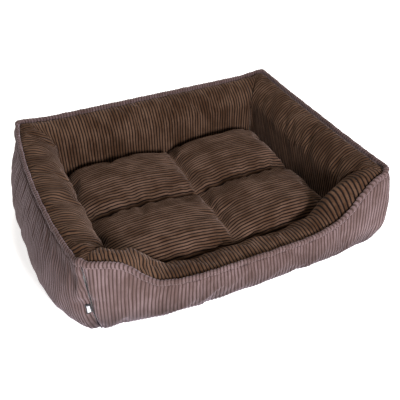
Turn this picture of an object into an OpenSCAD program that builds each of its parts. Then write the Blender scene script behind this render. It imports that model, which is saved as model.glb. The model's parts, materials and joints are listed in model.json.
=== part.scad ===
// Bolster-walled cushion bed for a medium dog.
// Millimetres, +Z up, +X along the length, the dipped entry wall faces -Y.
// The origin is on the floor, under the middle of the rim's top seam.

/* [Rim] */
// Length of the rim along its top edge, left to right
rim_length = 920; // [760:10:1110]
// Depth of the rim along its top edge, front to back
rim_depth = 740; // [610:10:890]
// Height of the rim's edge at its four corners
corner_height = 286; // [236:2:344]
// Distance from the top seam to the inner face of a wall
wall_depth = 92; // [76:1:111]
// How far the middle of the back wall sags below the corners
back_sag = 13; // [0:1:24]
// How far the middle of each side wall sags below the corners
side_sag = 6; // [0:1:20]

/* [Bulge] */
// How far the front wall swells past its top seam
front_bulge = 15; // [8:1:30]
// How far the right wall swells past its top seam
right_bulge = 52; // [20:1:64]
// How far the back wall swells past its top seam
back_bulge = 40; // [24:1:50]
// How far the left wall swells past its top seam
left_bulge = 56; // [20:1:68]
// How far the front-left corner seam swells out at half height, or pulls in below zero
front_left_swell = -12; // [-20:1:20]
// How far the front-right corner seam swells out at half height
front_right_swell = 14; // [-20:1:20]
// How far the back-right corner seam swells out at half height
back_right_swell = 6; // [-20:1:20]
// How far the back-left corner seam swells out at half height
back_left_swell = 12; // [-20:1:20]
// How far the bottom seam is tucked under the wall
bottom_tuck = 34; // [20:1:42]
// How far the front seam bows outward at its middle
front_bow = 12; // [0:1:24]
// How far the left seam bows outward at its middle
left_bow = 30; // [0:1:36]

/* [Entry] */
// Height of the rim's edge at the lowest point of the entry
entry_height = 128; // [106:1:154]
// Half the width of the entry, at half the depth of the dip
entry_half_width = 333; // [250:1:350]
// How far the middle of the entry lies to the right of the bed's middle
entry_offset = 20; // [-30:1:30]

/* [Fabric] */
// Thickness of a corduroy panel with its backing
panel_thickness = 3; // [2:0.5:4]
// Height of the topstitched flange on the rim's edge
flange_height = 13; // [8:1:18]
// Thickness of the whole flange, four layers of fabric
flange_thickness = 10; // [7:0.5:14]

/* [Base] */
// Thickness of the anti-slip cloth underneath
underside_thickness = 2; // [1.5:0.5:3]
// Thickness of the sewn-in base pad
base_pad_thickness = 18; // [12:1:24]
// Thickness of the lining over the base pad
lining_thickness = 1; // [0.8:0.1:2]

/* [Cushion] */
// Gap between the loose cushion and the walls around it
cushion_clearance = 2; // [1.5:0.5:5]
// Height of the cushion's four plump crowns above its underside
cushion_loft = 118; // [98:1:142]
// Height of the cushion's edge seam above its underside
cushion_seam_height = 40; // [33:1:48]
// Height kept by the quilting seams, as a share of the crown above the edge seam
quilt_depth = 0.62; // [0.45:0.01:0.8]
// How far the front-to-back quilting seam lies to the right of the middle
quilt_offset = 20; // [-40:1:40]

/* [Zips] */
// Length of the zip in the back of the rim
rim_zip_length = 640; // [530:10:770]
// Length of the zip in the back edge of the cushion
cushion_zip_length = 480; // [400:10:580]
// Length of a zip's pull tab
pull_length = 28; // [20:1:34]

/* [Label] */
// Height of the side label above the floor, to its middle
label_middle = 112; // [90:1:134]
// Height of the side label
label_height = 34; // [24:1:42]
// How far the side label stands out of the corner seam
label_width = 15; // [10:1:20]

/* [Hidden] */

// Sides of the rim, each seen from outside with u running from -1 to 1 counterclockwise
FRONT = 0;
RIGHT = 1;
BACK = 2;
LEFT = 3;

// Colours
rib_mauve = [0.45, 0.37, 0.36];
rib_brown = [0.34, 0.26, 0.23];
lining_grey = [0.22, 0.21, 0.21];
fill_white = [0.93, 0.93, 0.90];
zip_brown = [0.20, 0.15, 0.13];
metal_dark = [0.30, 0.28, 0.27];
label_grey = [0.80, 0.80, 0.78];

// Gaps between neighbouring solids
sewn_gap = 0.3;
fill_gap = 2.2;
mitre_share = 0.0005;

// Half sizes and heights worked out from the driving sizes
half_length = rim_length / 2;
half_depth = rim_depth / 2;
half_flange = flange_thickness / 2;
well_half_length = half_length - wall_depth;
well_half_depth = half_depth - wall_depth;
pad_bottom = underside_thickness + sewn_gap;
pad_top = pad_bottom + base_pad_thickness;
lining_bottom = pad_top + sewn_gap;
lining_top = lining_bottom + lining_thickness;
cushion_bottom = lining_top + sewn_gap;

// Shape of the outer walls
belly_level = [0.62, 0.46, 0.42, 0.46];
bulges = [front_bulge, right_bulge, back_bulge, left_bulge];
bows = [front_bow, 0, 0, left_bow];
corner_swells = [front_left_swell, front_right_swell, back_right_swell, back_left_swell];
sags = [0, side_sag, back_sag, side_sag];
lower_share = 0.57;
crown_rise = 22;
crown_share = 0.45;
drop_share = 0.6;
drop_pull = 0.62;
plain_flat_share = 0.3;
fill_top_half = 0.6;
fill_top_inset = 4;
fill_top_drop = 2;
fill_waist = 60;
fill_hip = 40;

// Shape of the entry
entry_slope_start = 150;
entry_steep_width = 130;
entry_steep_share = 0.45;

// Zip construction
zip_gap = 5;
chain_gap = 0.8;
coil_radius = 1.2;
tape_thickness = 1;
tape_inner_edge = 3.4;
tape_outer_edge = 16;
tape_overrun = 12;
chain_setback = 3.8;
slider_length = 10;
slider_half_height = 4.4;
plate_thickness = 1.2;
outer_plate_setback = 1.0;
inner_plate_setback = 5.6;
bridge_length = 6;
bridge_half = 0.6;
pivot_out = 1.4;
pivot_lug_radius = 1.8;
pivot_lug_inner = 2.2;
pivot_lug_outer = 3.4;
pivot_pin_radius = 0.7;
pivot_bore_radius = 0.78;
pivot_barrel_radius = 1.5;
pivot_barrel_half = 1.9;
pull_half_height = 3.5;
pull_thickness = 1.4;
pull_neck = 2.6;
stop_length = 4;
stop_gap = 0.5;
slider_rest_inset = 9;
zip_room_end = 34;
zip_channel_half = 19;
zip_channel_depth = 9.5;
zip_room_half_height = 7;
cushion_zip_setback = 4;
label_gap = 0.3;
label_thickness = 1.1;
label_seam_share = 0.01;
back_flat_share = (rim_zip_length / 2 + zip_room_end) / (half_length + back_bulge);

// Round parts
$fn = 32;

// ---- small maths ----

function lerp(a, b, t) = a + (b - a) * t;
function clamp01(t) = min(1, max(0, t));
function smooth(t) = let(c = clamp01(t)) c * c * (3 - 2 * c);
function bezier(p, s) =
    pow(1 - s, 3) * p[0] + 3 * s * pow(1 - s, 2) * p[1]
    + 3 * s * s * (1 - s) * p[2] + pow(s, 3) * p[3];
function bezier_slope(p, s) =
    3 * pow(1 - s, 2) * (p[1] - p[0]) + 6 * s * (1 - s) * (p[2] - p[1])
    + 3 * s * s * (p[3] - p[2]);
function beside(p, s, d) =
    let(t = bezier_slope(p, s), n = [t[1], -t[0]] / norm(t))
    bezier(p, s) + d * n;
function share_at_height(p, z, low = 0, high = 1, rounds = 24) =
    let(mid = (low + high) / 2)
    rounds == 0 ? mid
    : bezier(p, mid)[1] > z ? share_at_height(p, z, low, mid, rounds - 1)
    : share_at_height(p, z, mid, high, rounds - 1);

// ---- shape of the rim ----

// 1 along the middle of a wall, easing to 0 at its corners
function fullness(side, u) =
    let(flat = side == BACK ? back_flat_share : plain_flat_share,
        past = max(0, abs(u) - flat) / (1 - flat))
    1 - past * past;

// 0 at the bottom of the entry, 1 at the corners on either side of it
function entry_rise(x) =
    let(away = abs(x - entry_offset),
        reach = half_length - entry_offset * sign(x - entry_offset),
        ramp = clamp01((away - entry_slope_start) / (reach - entry_slope_start)),
        steep = smooth(0.5 + (away - entry_half_width) / entry_steep_width))
    (1 - entry_steep_share) * ramp * ramp * (2 - ramp) + entry_steep_share * steep;

function edge_height(side, u) =
    side == FRONT
    ? lerp(entry_height, corner_height, entry_rise(u * half_length))
    : corner_height - sags[side] * fullness(side, u);
function seam_height(side, u) = edge_height(side, u) - flange_height;
function bow(side, u) = bows[side] * (1 - u * u);

// Outer face of a wall in its own (outward, height) plane, from the floor to the top seam
function outer_face(side, u) =
    let(h = seam_height(side, u),
        corner = corner_swells[u < 0 ? side : (side + 1) % 4],
        swell = lerp(corner, bulges[side], fullness(side, u)),
        reach = (8 * swell + bottom_tuck) / 3,
        b = bow(side, u))
    [
        [b / 2 - bottom_tuck, 0],
        [b + reach * lower_share, 0],
        [b + reach * (1 - lower_share), h * belly_level[side]],
        [b + half_flange, h]
    ];

// Inner face of a wall, from the top seam over the bolster's crown to where it drops straight
function inner_face(side, u) =
    let(h = seam_height(side, u),
        low = clamp01((corner_height - edge_height(side, u)) / (corner_height - entry_height)),
        b = bow(side, u),
        drop = h * drop_share)
    [
        [b - half_flange, h],
        [b * 0.7 - crown_share * wall_depth, h + crown_rise],
        [-wall_depth, lerp(lerp(drop, h, drop_pull), h, low)],
        [-wall_depth, drop]
    ];

// Turns an (along, outward, height) place on a wall into a point of the bed
function place(side, u, q) =
    let(x = half_length + q[0], y = half_depth + q[0])
    side == FRONT ? [u * x, -y, q[1]]
    : side == RIGHT ? [x, u * y, q[1]]
    : side == BACK ? [-u * x, y, q[1]]
    : [-x, -u * y, q[1]];

// Stations along a wall, closer together towards its corners
function stations(count) = [for (k = [0:count]) (1 - mitre_share) * sin(90 * (2 * k / count - 1))];
function stations_for(side) =
    side == FRONT
    ? [for (k = [0:26]) (1 - mitre_share) * (2 * k / 26 - 1)]
    : side == BACK
    ? concat(
        [for (k = [0:4]) lerp(-(1 - mitre_share), -back_flat_share, k / 4)],
        [0],
        [for (k = [0:4]) lerp(back_flat_share, 1 - mitre_share, k / 4)])
    : stations(14);

// ---- solids swept along a wall ----

// One solid between two rows of points per station: rows[k] = [outer points, inner points]
module banded_solid(rows) {
    last = len(rows) - 1;
    n = len(rows[0][0]);
    points = [for (row = rows) each concat(row[0], row[1])];
    function outer(k, i) = k * 2 * n + i;
    function inner(k, i) = k * 2 * n + n + i;
    function quad(a, b, c, d) = [[a, b, c], [a, c, d]];
    polyhedron(
        points = points,
        faces = [
            for (k = [0:last - 1], i = [0:n - 2])
                each quad(outer(k, i), outer(k, i + 1), outer(k + 1, i + 1), outer(k + 1, i)),
            for (k = [0:last - 1], i = [0:n - 2])
                each quad(inner(k, i), inner(k + 1, i), inner(k + 1, i + 1), inner(k, i + 1)),
            for (k = [0:last - 1])
                each quad(outer(k, 0), outer(k + 1, 0), inner(k + 1, 0), inner(k, 0)),
            for (k = [0:last - 1])
                each quad(outer(k, n - 1), inner(k, n - 1), inner(k + 1, n - 1), outer(k + 1, n - 1)),
            for (i = [0:n - 2])
                each quad(outer(0, i), inner(0, i), inner(0, i + 1), outer(0, i + 1)),
            for (i = [0:n - 2])
                each quad(outer(last, i), outer(last, i + 1), inner(last, i + 1), inner(last, i))
        ]
    );
}

function placed(side, u, rows) = [for (row = rows) [for (q = row) place(side, u, q)]];

// Samples of a face, from share a to share b
function shares(a, b, count) = [for (k = [0:count]) lerp(a, b, k / count)];

// Half of the top flange, standing on the seam: dir is 1 for the outer half, -1 for the inner
function flange_out(side, u, dir) = [bow(side, u) + dir * half_flange, edge_height(side, u)];
function flange_in(side, u, dir) = [bow(side, u) + dir * sewn_gap / 2, edge_height(side, u)];
function flange_root(side, u, dir) =
    [bow(side, u) + dir * sewn_gap / 2, seam_height(side, u) - panel_thickness];

// A corduroy wall panel on the outside, from the flange to the bottom seam
module outer_panel(side) {
    banded_solid([for (u = stations_for(side))
        let(p = outer_face(side, u))
        placed(side, u, [
            concat([flange_out(side, u, 1)], [for (s = shares(1, 0, 9)) beside(p, s, 0)]),
            concat([flange_in(side, u, 1), flange_root(side, u, 1)],
                [for (s = shares(8 / 9, 0, 8)) beside(p, s, -panel_thickness)])
        ])
    ]);
}

// A corduroy wall panel on the inside, from the flange over the crown and down to the base
module inner_panel(side) {
    foot = pad_bottom;
    banded_solid([for (u = stations_for(side))
        let(p = inner_face(side, u))
        placed(side, u, [
            concat([flange_in(side, u, -1), flange_root(side, u, -1)],
                [for (s = shares(1 / 7, 1, 6)) beside(p, s, -panel_thickness)],
                [[panel_thickness - wall_depth, foot]]),
            concat([flange_out(side, u, -1)],
                [for (s = shares(0, 1, 7)) beside(p, s, 0)],
                [[-wall_depth, foot]])
        ])
    ]);
}

// The polyester filling of one wall, between its two panels
module bolster_fill(side) {
    skin = panel_thickness + fill_gap;
    foot = max(pad_bottom, skin);
    banded_solid([for (u = stations_for(side))
        let(p = outer_face(side, u),
            q = inner_face(side, u),
            top = [bow(side, u) - fill_top_inset, seam_height(side, u) - panel_thickness - fill_top_drop],
            outer_row = [for (s = shares(8 / 9, 1 / 9, 7)) beside(p, s, -skin)],
            inner_row = concat(
                [for (s = shares(1 / 7, 1, 6)) beside(q, s, -skin)],
                [[skin - wall_depth, fill_waist]]))
        placed(side, u, [
            concat([top + [fill_top_half, 0]], outer_row, [[bow(side, u) / 2 - bottom_tuck, foot]]),
            concat([top - [fill_top_half, 0]], inner_row, [[skin - wall_depth, foot]])
        ])
    ]);
}

// ---- back wall, split by its zip ----

back_mid = outer_face(BACK, 0);
function widest_share(p, low = 0, high = 1, rounds = 24) =
    let(mid = (low + high) / 2)
    rounds == 0 ? mid
    : bezier_slope(p, mid)[0] > 0 ? widest_share(p, mid, high, rounds - 1)
    : widest_share(p, low, mid, rounds - 1);
rim_zip_share = widest_share(back_mid);
rim_zip_z = bezier(back_mid, rim_zip_share)[1];
rim_zip_y = half_depth + bezier(back_mid, rim_zip_share)[0];

// Half the opening between the two back panels: wide along the zip, closed past its ends
function split_half(u) = abs(u) <= back_flat_share ? zip_gap : sewn_gap / 2;
function back_stations() =
    let(past = back_flat_share + 0.004)
    concat(
        [for (k = [0:4]) lerp(-(1 - mitre_share), -past, k / 4)],
        [-back_flat_share, 0, back_flat_share],
        [for (k = [0:4]) lerp(past, 1 - mitre_share, k / 4)]);

module back_outer_panel() {
    color(rib_mauve)
        banded_solid([for (u = back_stations())
            let(p = outer_face(BACK, u),
                cut = share_at_height(p, rim_zip_z + split_half(u)))
            placed(BACK, u, [
                concat([flange_out(BACK, u, 1)], [for (s = shares(1, cut, 7)) beside(p, s, 0)]),
                concat([flange_in(BACK, u, 1), flange_root(BACK, u, 1)],
                    [for (s = shares(lerp(1, cut, 1 / 7), cut, 6)) beside(p, s, -panel_thickness)])
            ])
        ]);
}

module back_lower_strip() {
    color(rib_mauve)
        banded_solid([for (u = back_stations())
            let(p = outer_face(BACK, u),
                cut = share_at_height(p, rim_zip_z - split_half(u)))
            placed(BACK, u, [
                [for (s = shares(cut, 0, 8)) beside(p, s, 0)],
                [for (s = shares(cut, 0, 8)) beside(p, s, -panel_thickness)]
            ])
        ]);
}

module back_bolster_fill() {
    skin = panel_thickness + fill_gap;
    foot = max(pad_bottom, skin);
    deep = zip_channel_depth;
    color(fill_white)
        banded_solid([for (u = stations_for(BACK))
            let(p = outer_face(BACK, u),
                q = inner_face(BACK, u),
                top = [-fill_top_inset, seam_height(BACK, u) - panel_thickness - fill_top_drop],
                above = share_at_height(p, rim_zip_z + zip_channel_half),
                below = share_at_height(p, rim_zip_z - zip_channel_half),
                outer_row = concat(
                    [for (s = shares(8 / 9, above, 3)) beside(p, s, -skin)],
                    [for (s = [above, rim_zip_share, below]) beside(p, s, -deep)],
                    [for (s = shares(below, 1 / 9, 1)) beside(p, s, -skin)]),
                inner_row = concat(
                    [for (s = shares(1 / 7, 1, 6)) beside(q, s, -skin)],
                    [for (z = [fill_waist, fill_hip]) [skin - wall_depth, z]]))
            placed(BACK, u, [
                concat([top + [fill_top_half, 0]], outer_row, [[-bottom_tuck, foot]]),
                concat([top - [fill_top_half, 0]], inner_row, [[skin - wall_depth, foot]])
            ])
        ]);
}

// ---- base ----

module slab(half_x, half_y, bottom, height) {
    translate([-half_x, -half_y, bottom])
        cube([2 * half_x, 2 * half_y, height]);
}

module underside_sheet() {
    inset = bottom_tuck + sewn_gap;
    color(lining_grey)
        slab(half_length - inset, half_depth - inset, 0, underside_thickness);
}

module base_pad() {
    color(fill_white)
        slab(well_half_length - sewn_gap, well_half_depth - sewn_gap, pad_bottom, base_pad_thickness);
}

module base_lining() {
    color(lining_grey)
        slab(well_half_length - sewn_gap, well_half_depth - sewn_gap, lining_bottom, lining_thickness);
}

// ---- side label ----

// A folded blank ribbon that leaves the front-left corner seam and lies on the left wall
module side_label() {
    seam_u = 1 - label_seam_share;
    free_u = seam_u - label_width / half_depth;
    color(label_grey)
        banded_solid([for (u = [free_u, seam_u])
            let(p = outer_face(LEFT, u),
                top = share_at_height(p, label_middle + label_height / 2),
                bottom = share_at_height(p, label_middle - label_height / 2))
            placed(LEFT, u, [
                [for (s = shares(top, bottom, 4)) beside(p, s, label_gap + label_thickness)],
                [for (s = shares(top, bottom, 4)) beside(p, s, label_gap)]
            ])
        ]);
}

// ---- zips: each lies along X in a plane that faces +Y, with its chain at height z ----

module zip_coil(length, y, z, dir) {
    translate([-length / 2, y - chain_setback, z + dir * (chain_gap + coil_radius)])
        rotate([0, 90, 0])
            cylinder(h = length, r = coil_radius);
}

module zip_end_stops(length, y, z) {
    for (dir = [-1, 1])
        translate([
            dir * (length / 2 + stop_gap + stop_length / 2),
            y - chain_setback,
            z
        ])
            cube([stop_length, 2 * coil_radius, 2 * pivot_lug_outer - 0.4], center = true);
}

module zip_slider(x, y, z) {
    inner_plate = y - inner_plate_setback - plate_thickness;
    outer_plate = y - outer_plate_setback - plate_thickness;
    pivot_y = y + pivot_out;
    union() {
        translate([x - slider_length / 2, inner_plate, z - slider_half_height])
            cube([slider_length, plate_thickness, 2 * slider_half_height]);
        translate([x - slider_length / 2, outer_plate, z - slider_half_height])
            cube([slider_length, plate_thickness, 2 * slider_half_height]);
        translate([x - bridge_length / 2, inner_plate, z - bridge_half])
            cube([bridge_length, outer_plate - inner_plate + plate_thickness, 2 * bridge_half]);
        for (low = [-pivot_lug_outer, pivot_lug_inner])
            translate([x, pivot_y, z + low]) {
                cylinder(h = pivot_lug_outer - pivot_lug_inner, r = pivot_lug_radius);
                translate([-pivot_lug_radius, outer_plate - pivot_y, 0])
                    cube([2 * pivot_lug_radius, pivot_y - outer_plate, pivot_lug_outer - pivot_lug_inner]);
            }
        translate([x, pivot_y, z - pivot_lug_outer])
            cylinder(h = 2 * pivot_lug_outer, r = pivot_pin_radius);
    }
}

module zip_pull(x, y, z) {
    grip_hole = pull_half_height - 1.5;
    translate([x, y + pivot_out, z])
        difference() {
            union() {
                translate([0, 0, -pivot_barrel_half])
                    cylinder(h = 2 * pivot_barrel_half, r = pivot_barrel_radius);
                translate([-pull_neck - 1, -pull_thickness / 2, -pivot_barrel_half])
                    cube([pull_neck + 1, pull_thickness, 2 * pivot_barrel_half]);
                translate([-pull_length, -pull_thickness / 2, -pull_half_height])
                    cube([pull_length - pull_neck, pull_thickness, 2 * pull_half_height]);
            }
            translate([0, 0, -pivot_barrel_half - 1])
                cylinder(h = 2 * pivot_barrel_half + 2, r = pivot_bore_radius);
            translate([grip_hole + 2 - pull_length, 0, 0])
                rotate([90, 0, 0])
                    cylinder(h = 2 * pull_thickness, r = grip_hole, center = true);
        }
}

// ---- zip of the rim ----

rim_zip_x = rim_zip_length / 2 - slider_rest_inset;

// A tape follows the inner face of the back panels, above (dir 1) or below (dir -1) the chain
module rim_zip_tape(dir) {
    near = share_at_height(back_mid, rim_zip_z + dir * tape_inner_edge);
    far = share_at_height(back_mid, rim_zip_z + dir * tape_outer_edge);
    u_end = (rim_zip_length / 2 + tape_overrun) / (rim_zip_y - half_depth + half_length);
    depth = panel_thickness + sewn_gap;
    color(zip_brown)
        banded_solid([for (u = [-u_end, u_end])
            placed(BACK, u, [
                [for (s = shares(max(near, far), min(near, far), 4)) beside(back_mid, s, -depth)],
                [for (s = shares(max(near, far), min(near, far), 4)) beside(back_mid, s, -depth - tape_thickness)]
            ])
        ]);
}

module rim_zip_upper_tape() {
    rim_zip_tape(1);
}

module rim_zip_lower_tape() {
    rim_zip_tape(-1);
}

module rim_zip_upper_coil() {
    color(zip_brown) zip_coil(rim_zip_length, rim_zip_y, rim_zip_z, 1);
}

module rim_zip_lower_coil() {
    color(zip_brown) zip_coil(rim_zip_length, rim_zip_y, rim_zip_z, -1);
}

module rim_zip_end_stops() {
    color(metal_dark) zip_end_stops(rim_zip_length, rim_zip_y, rim_zip_z);
}

module rim_zip_slider() {
    color(metal_dark) zip_slider(rim_zip_x, rim_zip_y, rim_zip_z);
}

module rim_zip_pull() {
    color(metal_dark) zip_pull(rim_zip_x, rim_zip_y, rim_zip_z);
}

// ---- cushion ----

cushion_half_length = well_half_length - cushion_clearance;
cushion_half_depth = well_half_depth - cushion_clearance;
cushion_seam_z = cushion_bottom + cushion_seam_height;
crown = cushion_loft - cushion_seam_height;
quilt_edge_share = 0.006;
fill_edge_share = 0.951;
edge_sharpness = 0.35;

// Shares of the way from a quilting seam (0) to the edge seam (1)
edge_shares = [0, 0.07, 0.18, 0.34, 0.55, 0.76, 0.88, 0.95, 0.985, 1];

function edge_roll(p, power) = pow(max(0, 1 - pow(p, power)), edge_sharpness);
function quilted(p) = lerp(quilt_depth, 1, sin(90 * min(1, p / 0.5))) * edge_roll(p, 8);
function flattened(p) = edge_roll(p, 12);

// Signed place across the cushion for a signed share, measured from the quilting seam
function across(p, half, offset) = p < 0 ? offset + p * (half + offset) : offset + p * (half - offset);
function mirrored(list) = concat([for (k = [len(list) - 1:-1:1]) -list[k]], list);

// Half the opening along the back edge that the cushion's zip closes
zip_room_half = cushion_zip_length / 2 + zip_room_end;

// Shares along the length on one side of the quilting seam, with a column at the zip opening's end
function long_shares(dir) =
    let(end = (zip_room_half - dir * quilt_offset) / (cushion_half_length - dir * quilt_offset),
        past = end + 0.01)
    concat(end * [0, 0.1, 0.25, 0.45, 0.7, 1], [past, (past + 0.95) / 2, 0.95, 0.985, 1]);
function whole_length() =
    let(left = long_shares(-1))
    concat([for (k = [len(left) - 1:-1:1]) -left[k]], long_shares(1));

// How far a cover's edge stays off the edge seam: only where the zip lies between the covers
function edge_gap(x, py) = py == 1 && abs(x) < zip_room_half + 0.01 ? zip_room_half_height : sewn_gap / 2;

function top_point(px, py, inset) =
    let(x = across(px, cushion_half_length - inset, quilt_offset),
        y = across(py, cushion_half_depth - inset, 0),
        rise = (crown - inset) * quilted(abs(px)) * quilted(abs(py)))
    [x, y, cushion_seam_z + max(rise, edge_gap(x, py))];
function bottom_point(px, py, inset) =
    let(x = across(px, cushion_half_length - inset, quilt_offset),
        y = across(py, cushion_half_depth - inset, 0),
        fall = (cushion_seam_height - inset) * flattened(abs(px)) * flattened(abs(py)))
    [x, y, cushion_seam_z - max(fall, edge_gap(x, py))];

// One solid between an upper and a lower grid of points with the same rows and columns.
// Each cell is two triangles, split along one diagonal, or the other if crossed.
module gridded_solid(upper, lower, crossed = false) {
    rows = len(upper);
    cols = len(upper[0]);
    points = concat([for (row = upper) each row], [for (row = lower) each row]);
    base = rows * cols;
    function quad(a, b, c, d) = crossed ? [[b, c, d], [b, d, a]] : [[a, b, c], [a, c, d]];
    function wall(a, b) = quad(a, b, b + base, a + base);
    polyhedron(
        points = points,
        faces = [
            for (r = [0:rows - 2], c = [0:cols - 2])
                each quad(r * cols + c, r * cols + c + 1, (r + 1) * cols + c + 1, (r + 1) * cols + c),
            for (r = [0:rows - 2], c = [0:cols - 2])
                each quad(base + r * cols + c, base + (r + 1) * cols + c,
                    base + (r + 1) * cols + c + 1, base + r * cols + c + 1),
            for (c = [0:cols - 2])
                each wall(c + 1, c),
            for (c = [0:cols - 2])
                each wall((rows - 1) * cols + c, (rows - 1) * cols + c + 1),
            for (r = [0:rows - 2])
                each wall(r * cols, (r + 1) * cols),
            for (r = [0:rows - 2])
                each wall((r + 1) * cols + cols - 1, r * cols + cols - 1)
        ]
    );
}

cushion_zip_y = cushion_half_depth - cushion_zip_setback;
cushion_zip_z = cushion_seam_z;
cushion_zip_x = cushion_zip_length / 2 - slider_rest_inset;

module cushion_top_panel() {
    columns = whole_length();
    rows = mirrored(edge_shares);
    color(rib_brown)
        gridded_solid(
            [for (px = columns) [for (py = rows) top_point(px, py, 0)]],
            [for (px = columns) [for (py = rows) top_point(px, py, panel_thickness)]],
            crossed = true
        );
}

module cushion_bottom_panel() {
    columns = whole_length();
    rows = mirrored(edge_shares);
    color(lining_grey)
        gridded_solid(
            [for (px = columns) [for (py = rows) bottom_point(px, py, panel_thickness)]],
            [for (px = columns) [for (py = rows) bottom_point(px, py, 0)]]
        );
}

// A filling uses the same rows and columns as the covers around it, short of the seams
function filled(list) =
    concat([quilt_edge_share], [for (p = list) if (p > 0 && p < fill_edge_share) p]);
function turned(list, dir) = dir > 0 ? list : [for (k = [len(list) - 1:-1:0]) -list[k]];

// The filling of one quilted quarter: sx and sy are -1 or 1
module cushion_fill(sx, sy) {
    inset = panel_thickness + fill_gap;
    across_x = turned(filled(long_shares(sx)), sx);
    across_y = turned(filled(edge_shares), sy);
    color(fill_white)
        gridded_solid(
            [for (px = across_x) [for (py = across_y) top_point(px, py, inset)]],
            [for (px = across_x) [for (py = across_y) bottom_point(px, py, inset)]]
        );
}

module cushion_fill_front_left() {
    cushion_fill(-1, -1);
}

module cushion_fill_front_right() {
    cushion_fill(1, -1);
}

module cushion_fill_back_left() {
    cushion_fill(-1, 1);
}

module cushion_fill_back_right() {
    cushion_fill(1, 1);
}

// ---- zip of the cushion ----

module cushion_zip_tape(dir) {
    length = cushion_zip_length + 2 * tape_overrun;
    width = tape_outer_edge - tape_inner_edge;
    color(zip_brown)
        translate([
            -length / 2,
            cushion_zip_y - chain_setback - tape_thickness / 2,
            cushion_zip_z + (dir > 0 ? tape_inner_edge : -tape_outer_edge)
        ])
            cube([length, tape_thickness, width]);
}

module cushion_zip_upper_tape() {
    cushion_zip_tape(1);
}

module cushion_zip_lower_tape() {
    cushion_zip_tape(-1);
}

module cushion_zip_upper_coil() {
    color(zip_brown) zip_coil(cushion_zip_length, cushion_zip_y, cushion_zip_z, 1);
}

module cushion_zip_lower_coil() {
    color(zip_brown) zip_coil(cushion_zip_length, cushion_zip_y, cushion_zip_z, -1);
}

module cushion_zip_end_stops() {
    color(metal_dark) zip_end_stops(cushion_zip_length, cushion_zip_y, cushion_zip_z);
}

module cushion_zip_slider() {
    color(metal_dark) zip_slider(cushion_zip_x, cushion_zip_y, cushion_zip_z);
}

module cushion_zip_pull() {
    color(metal_dark) zip_pull(cushion_zip_x, cushion_zip_y, cushion_zip_z);
}

// ---- one named module for each wall panel and filling ----

module front_outer_panel() {
    color(rib_mauve) outer_panel(FRONT);
}

module right_outer_panel() {
    color(rib_mauve) outer_panel(RIGHT);
}

module left_outer_panel() {
    color(rib_mauve) outer_panel(LEFT);
}

module front_inner_panel() {
    color(rib_brown) inner_panel(FRONT);
}

module right_inner_panel() {
    color(rib_brown) inner_panel(RIGHT);
}

module back_inner_panel() {
    color(rib_brown) inner_panel(BACK);
}

module left_inner_panel() {
    color(rib_brown) inner_panel(LEFT);
}

module front_bolster_fill() {
    color(fill_white) bolster_fill(FRONT);
}

module right_bolster_fill() {
    color(fill_white) bolster_fill(RIGHT);
}

module left_bolster_fill() {
    color(fill_white) bolster_fill(LEFT);
}

front_outer_panel();
right_outer_panel();
back_outer_panel();
back_lower_strip();
left_outer_panel();
front_inner_panel();
right_inner_panel();
back_inner_panel();
left_inner_panel();
front_bolster_fill();
right_bolster_fill();
back_bolster_fill();
left_bolster_fill();
underside_sheet();
base_pad();
base_lining();
side_label();
rim_zip_upper_tape();
rim_zip_lower_tape();
rim_zip_upper_coil();
rim_zip_lower_coil();
rim_zip_end_stops();
rim_zip_slider();
rim_zip_pull();
cushion_top_panel();
cushion_bottom_panel();
cushion_fill_front_left();
cushion_fill_front_right();
cushion_fill_back_left();
cushion_fill_back_right();
cushion_zip_upper_tape();
cushion_zip_lower_tape();
cushion_zip_upper_coil();
cushion_zip_lower_coil();
cushion_zip_end_stops();
cushion_zip_slider();
cushion_zip_pull();
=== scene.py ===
# %% [markdown]
# A stuffed dog bed in wide-rib corduroy: four bolster walls sewn round a base, with a dipped
# entry at the front and a loose cushion quilted into four puffs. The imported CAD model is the
# frame. It says where every piece goes and what moves, and this script only gives it its looks.

# %% Load the frame
import json
import math

import bmesh
import bpy
import numpy as np
from mathutils import Matrix, Vector

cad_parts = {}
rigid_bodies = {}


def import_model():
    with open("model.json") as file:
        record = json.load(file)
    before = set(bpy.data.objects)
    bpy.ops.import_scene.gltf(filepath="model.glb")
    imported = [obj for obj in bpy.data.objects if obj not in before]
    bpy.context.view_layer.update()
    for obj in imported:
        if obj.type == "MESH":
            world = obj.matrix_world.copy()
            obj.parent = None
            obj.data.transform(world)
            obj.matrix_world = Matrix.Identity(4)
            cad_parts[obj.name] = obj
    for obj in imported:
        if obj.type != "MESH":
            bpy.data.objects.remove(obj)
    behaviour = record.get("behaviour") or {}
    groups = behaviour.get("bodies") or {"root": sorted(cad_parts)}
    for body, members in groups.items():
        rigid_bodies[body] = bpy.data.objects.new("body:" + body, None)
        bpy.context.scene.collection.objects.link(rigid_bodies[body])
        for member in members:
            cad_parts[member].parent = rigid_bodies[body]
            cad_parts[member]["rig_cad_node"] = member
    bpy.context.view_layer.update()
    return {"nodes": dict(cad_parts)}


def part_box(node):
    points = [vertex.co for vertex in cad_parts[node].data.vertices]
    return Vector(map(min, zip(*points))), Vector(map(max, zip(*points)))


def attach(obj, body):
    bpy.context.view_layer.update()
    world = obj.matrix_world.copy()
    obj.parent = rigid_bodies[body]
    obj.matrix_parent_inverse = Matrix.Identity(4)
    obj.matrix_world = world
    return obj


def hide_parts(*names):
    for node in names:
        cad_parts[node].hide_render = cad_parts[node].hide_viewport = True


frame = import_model()

# %% [markdown]
# Everything is in metres. The few driving sizes below are the design's own, and the rest of
# the places come from the boxes of the CAD nodes, so the looks stay on the frame.

# %% Driving sizes
MM = 0.001
FRONT, RIGHT, BACK, LEFT = range(4)
SIDE_NAMES = ["front", "right", "back", "left"]

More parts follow.
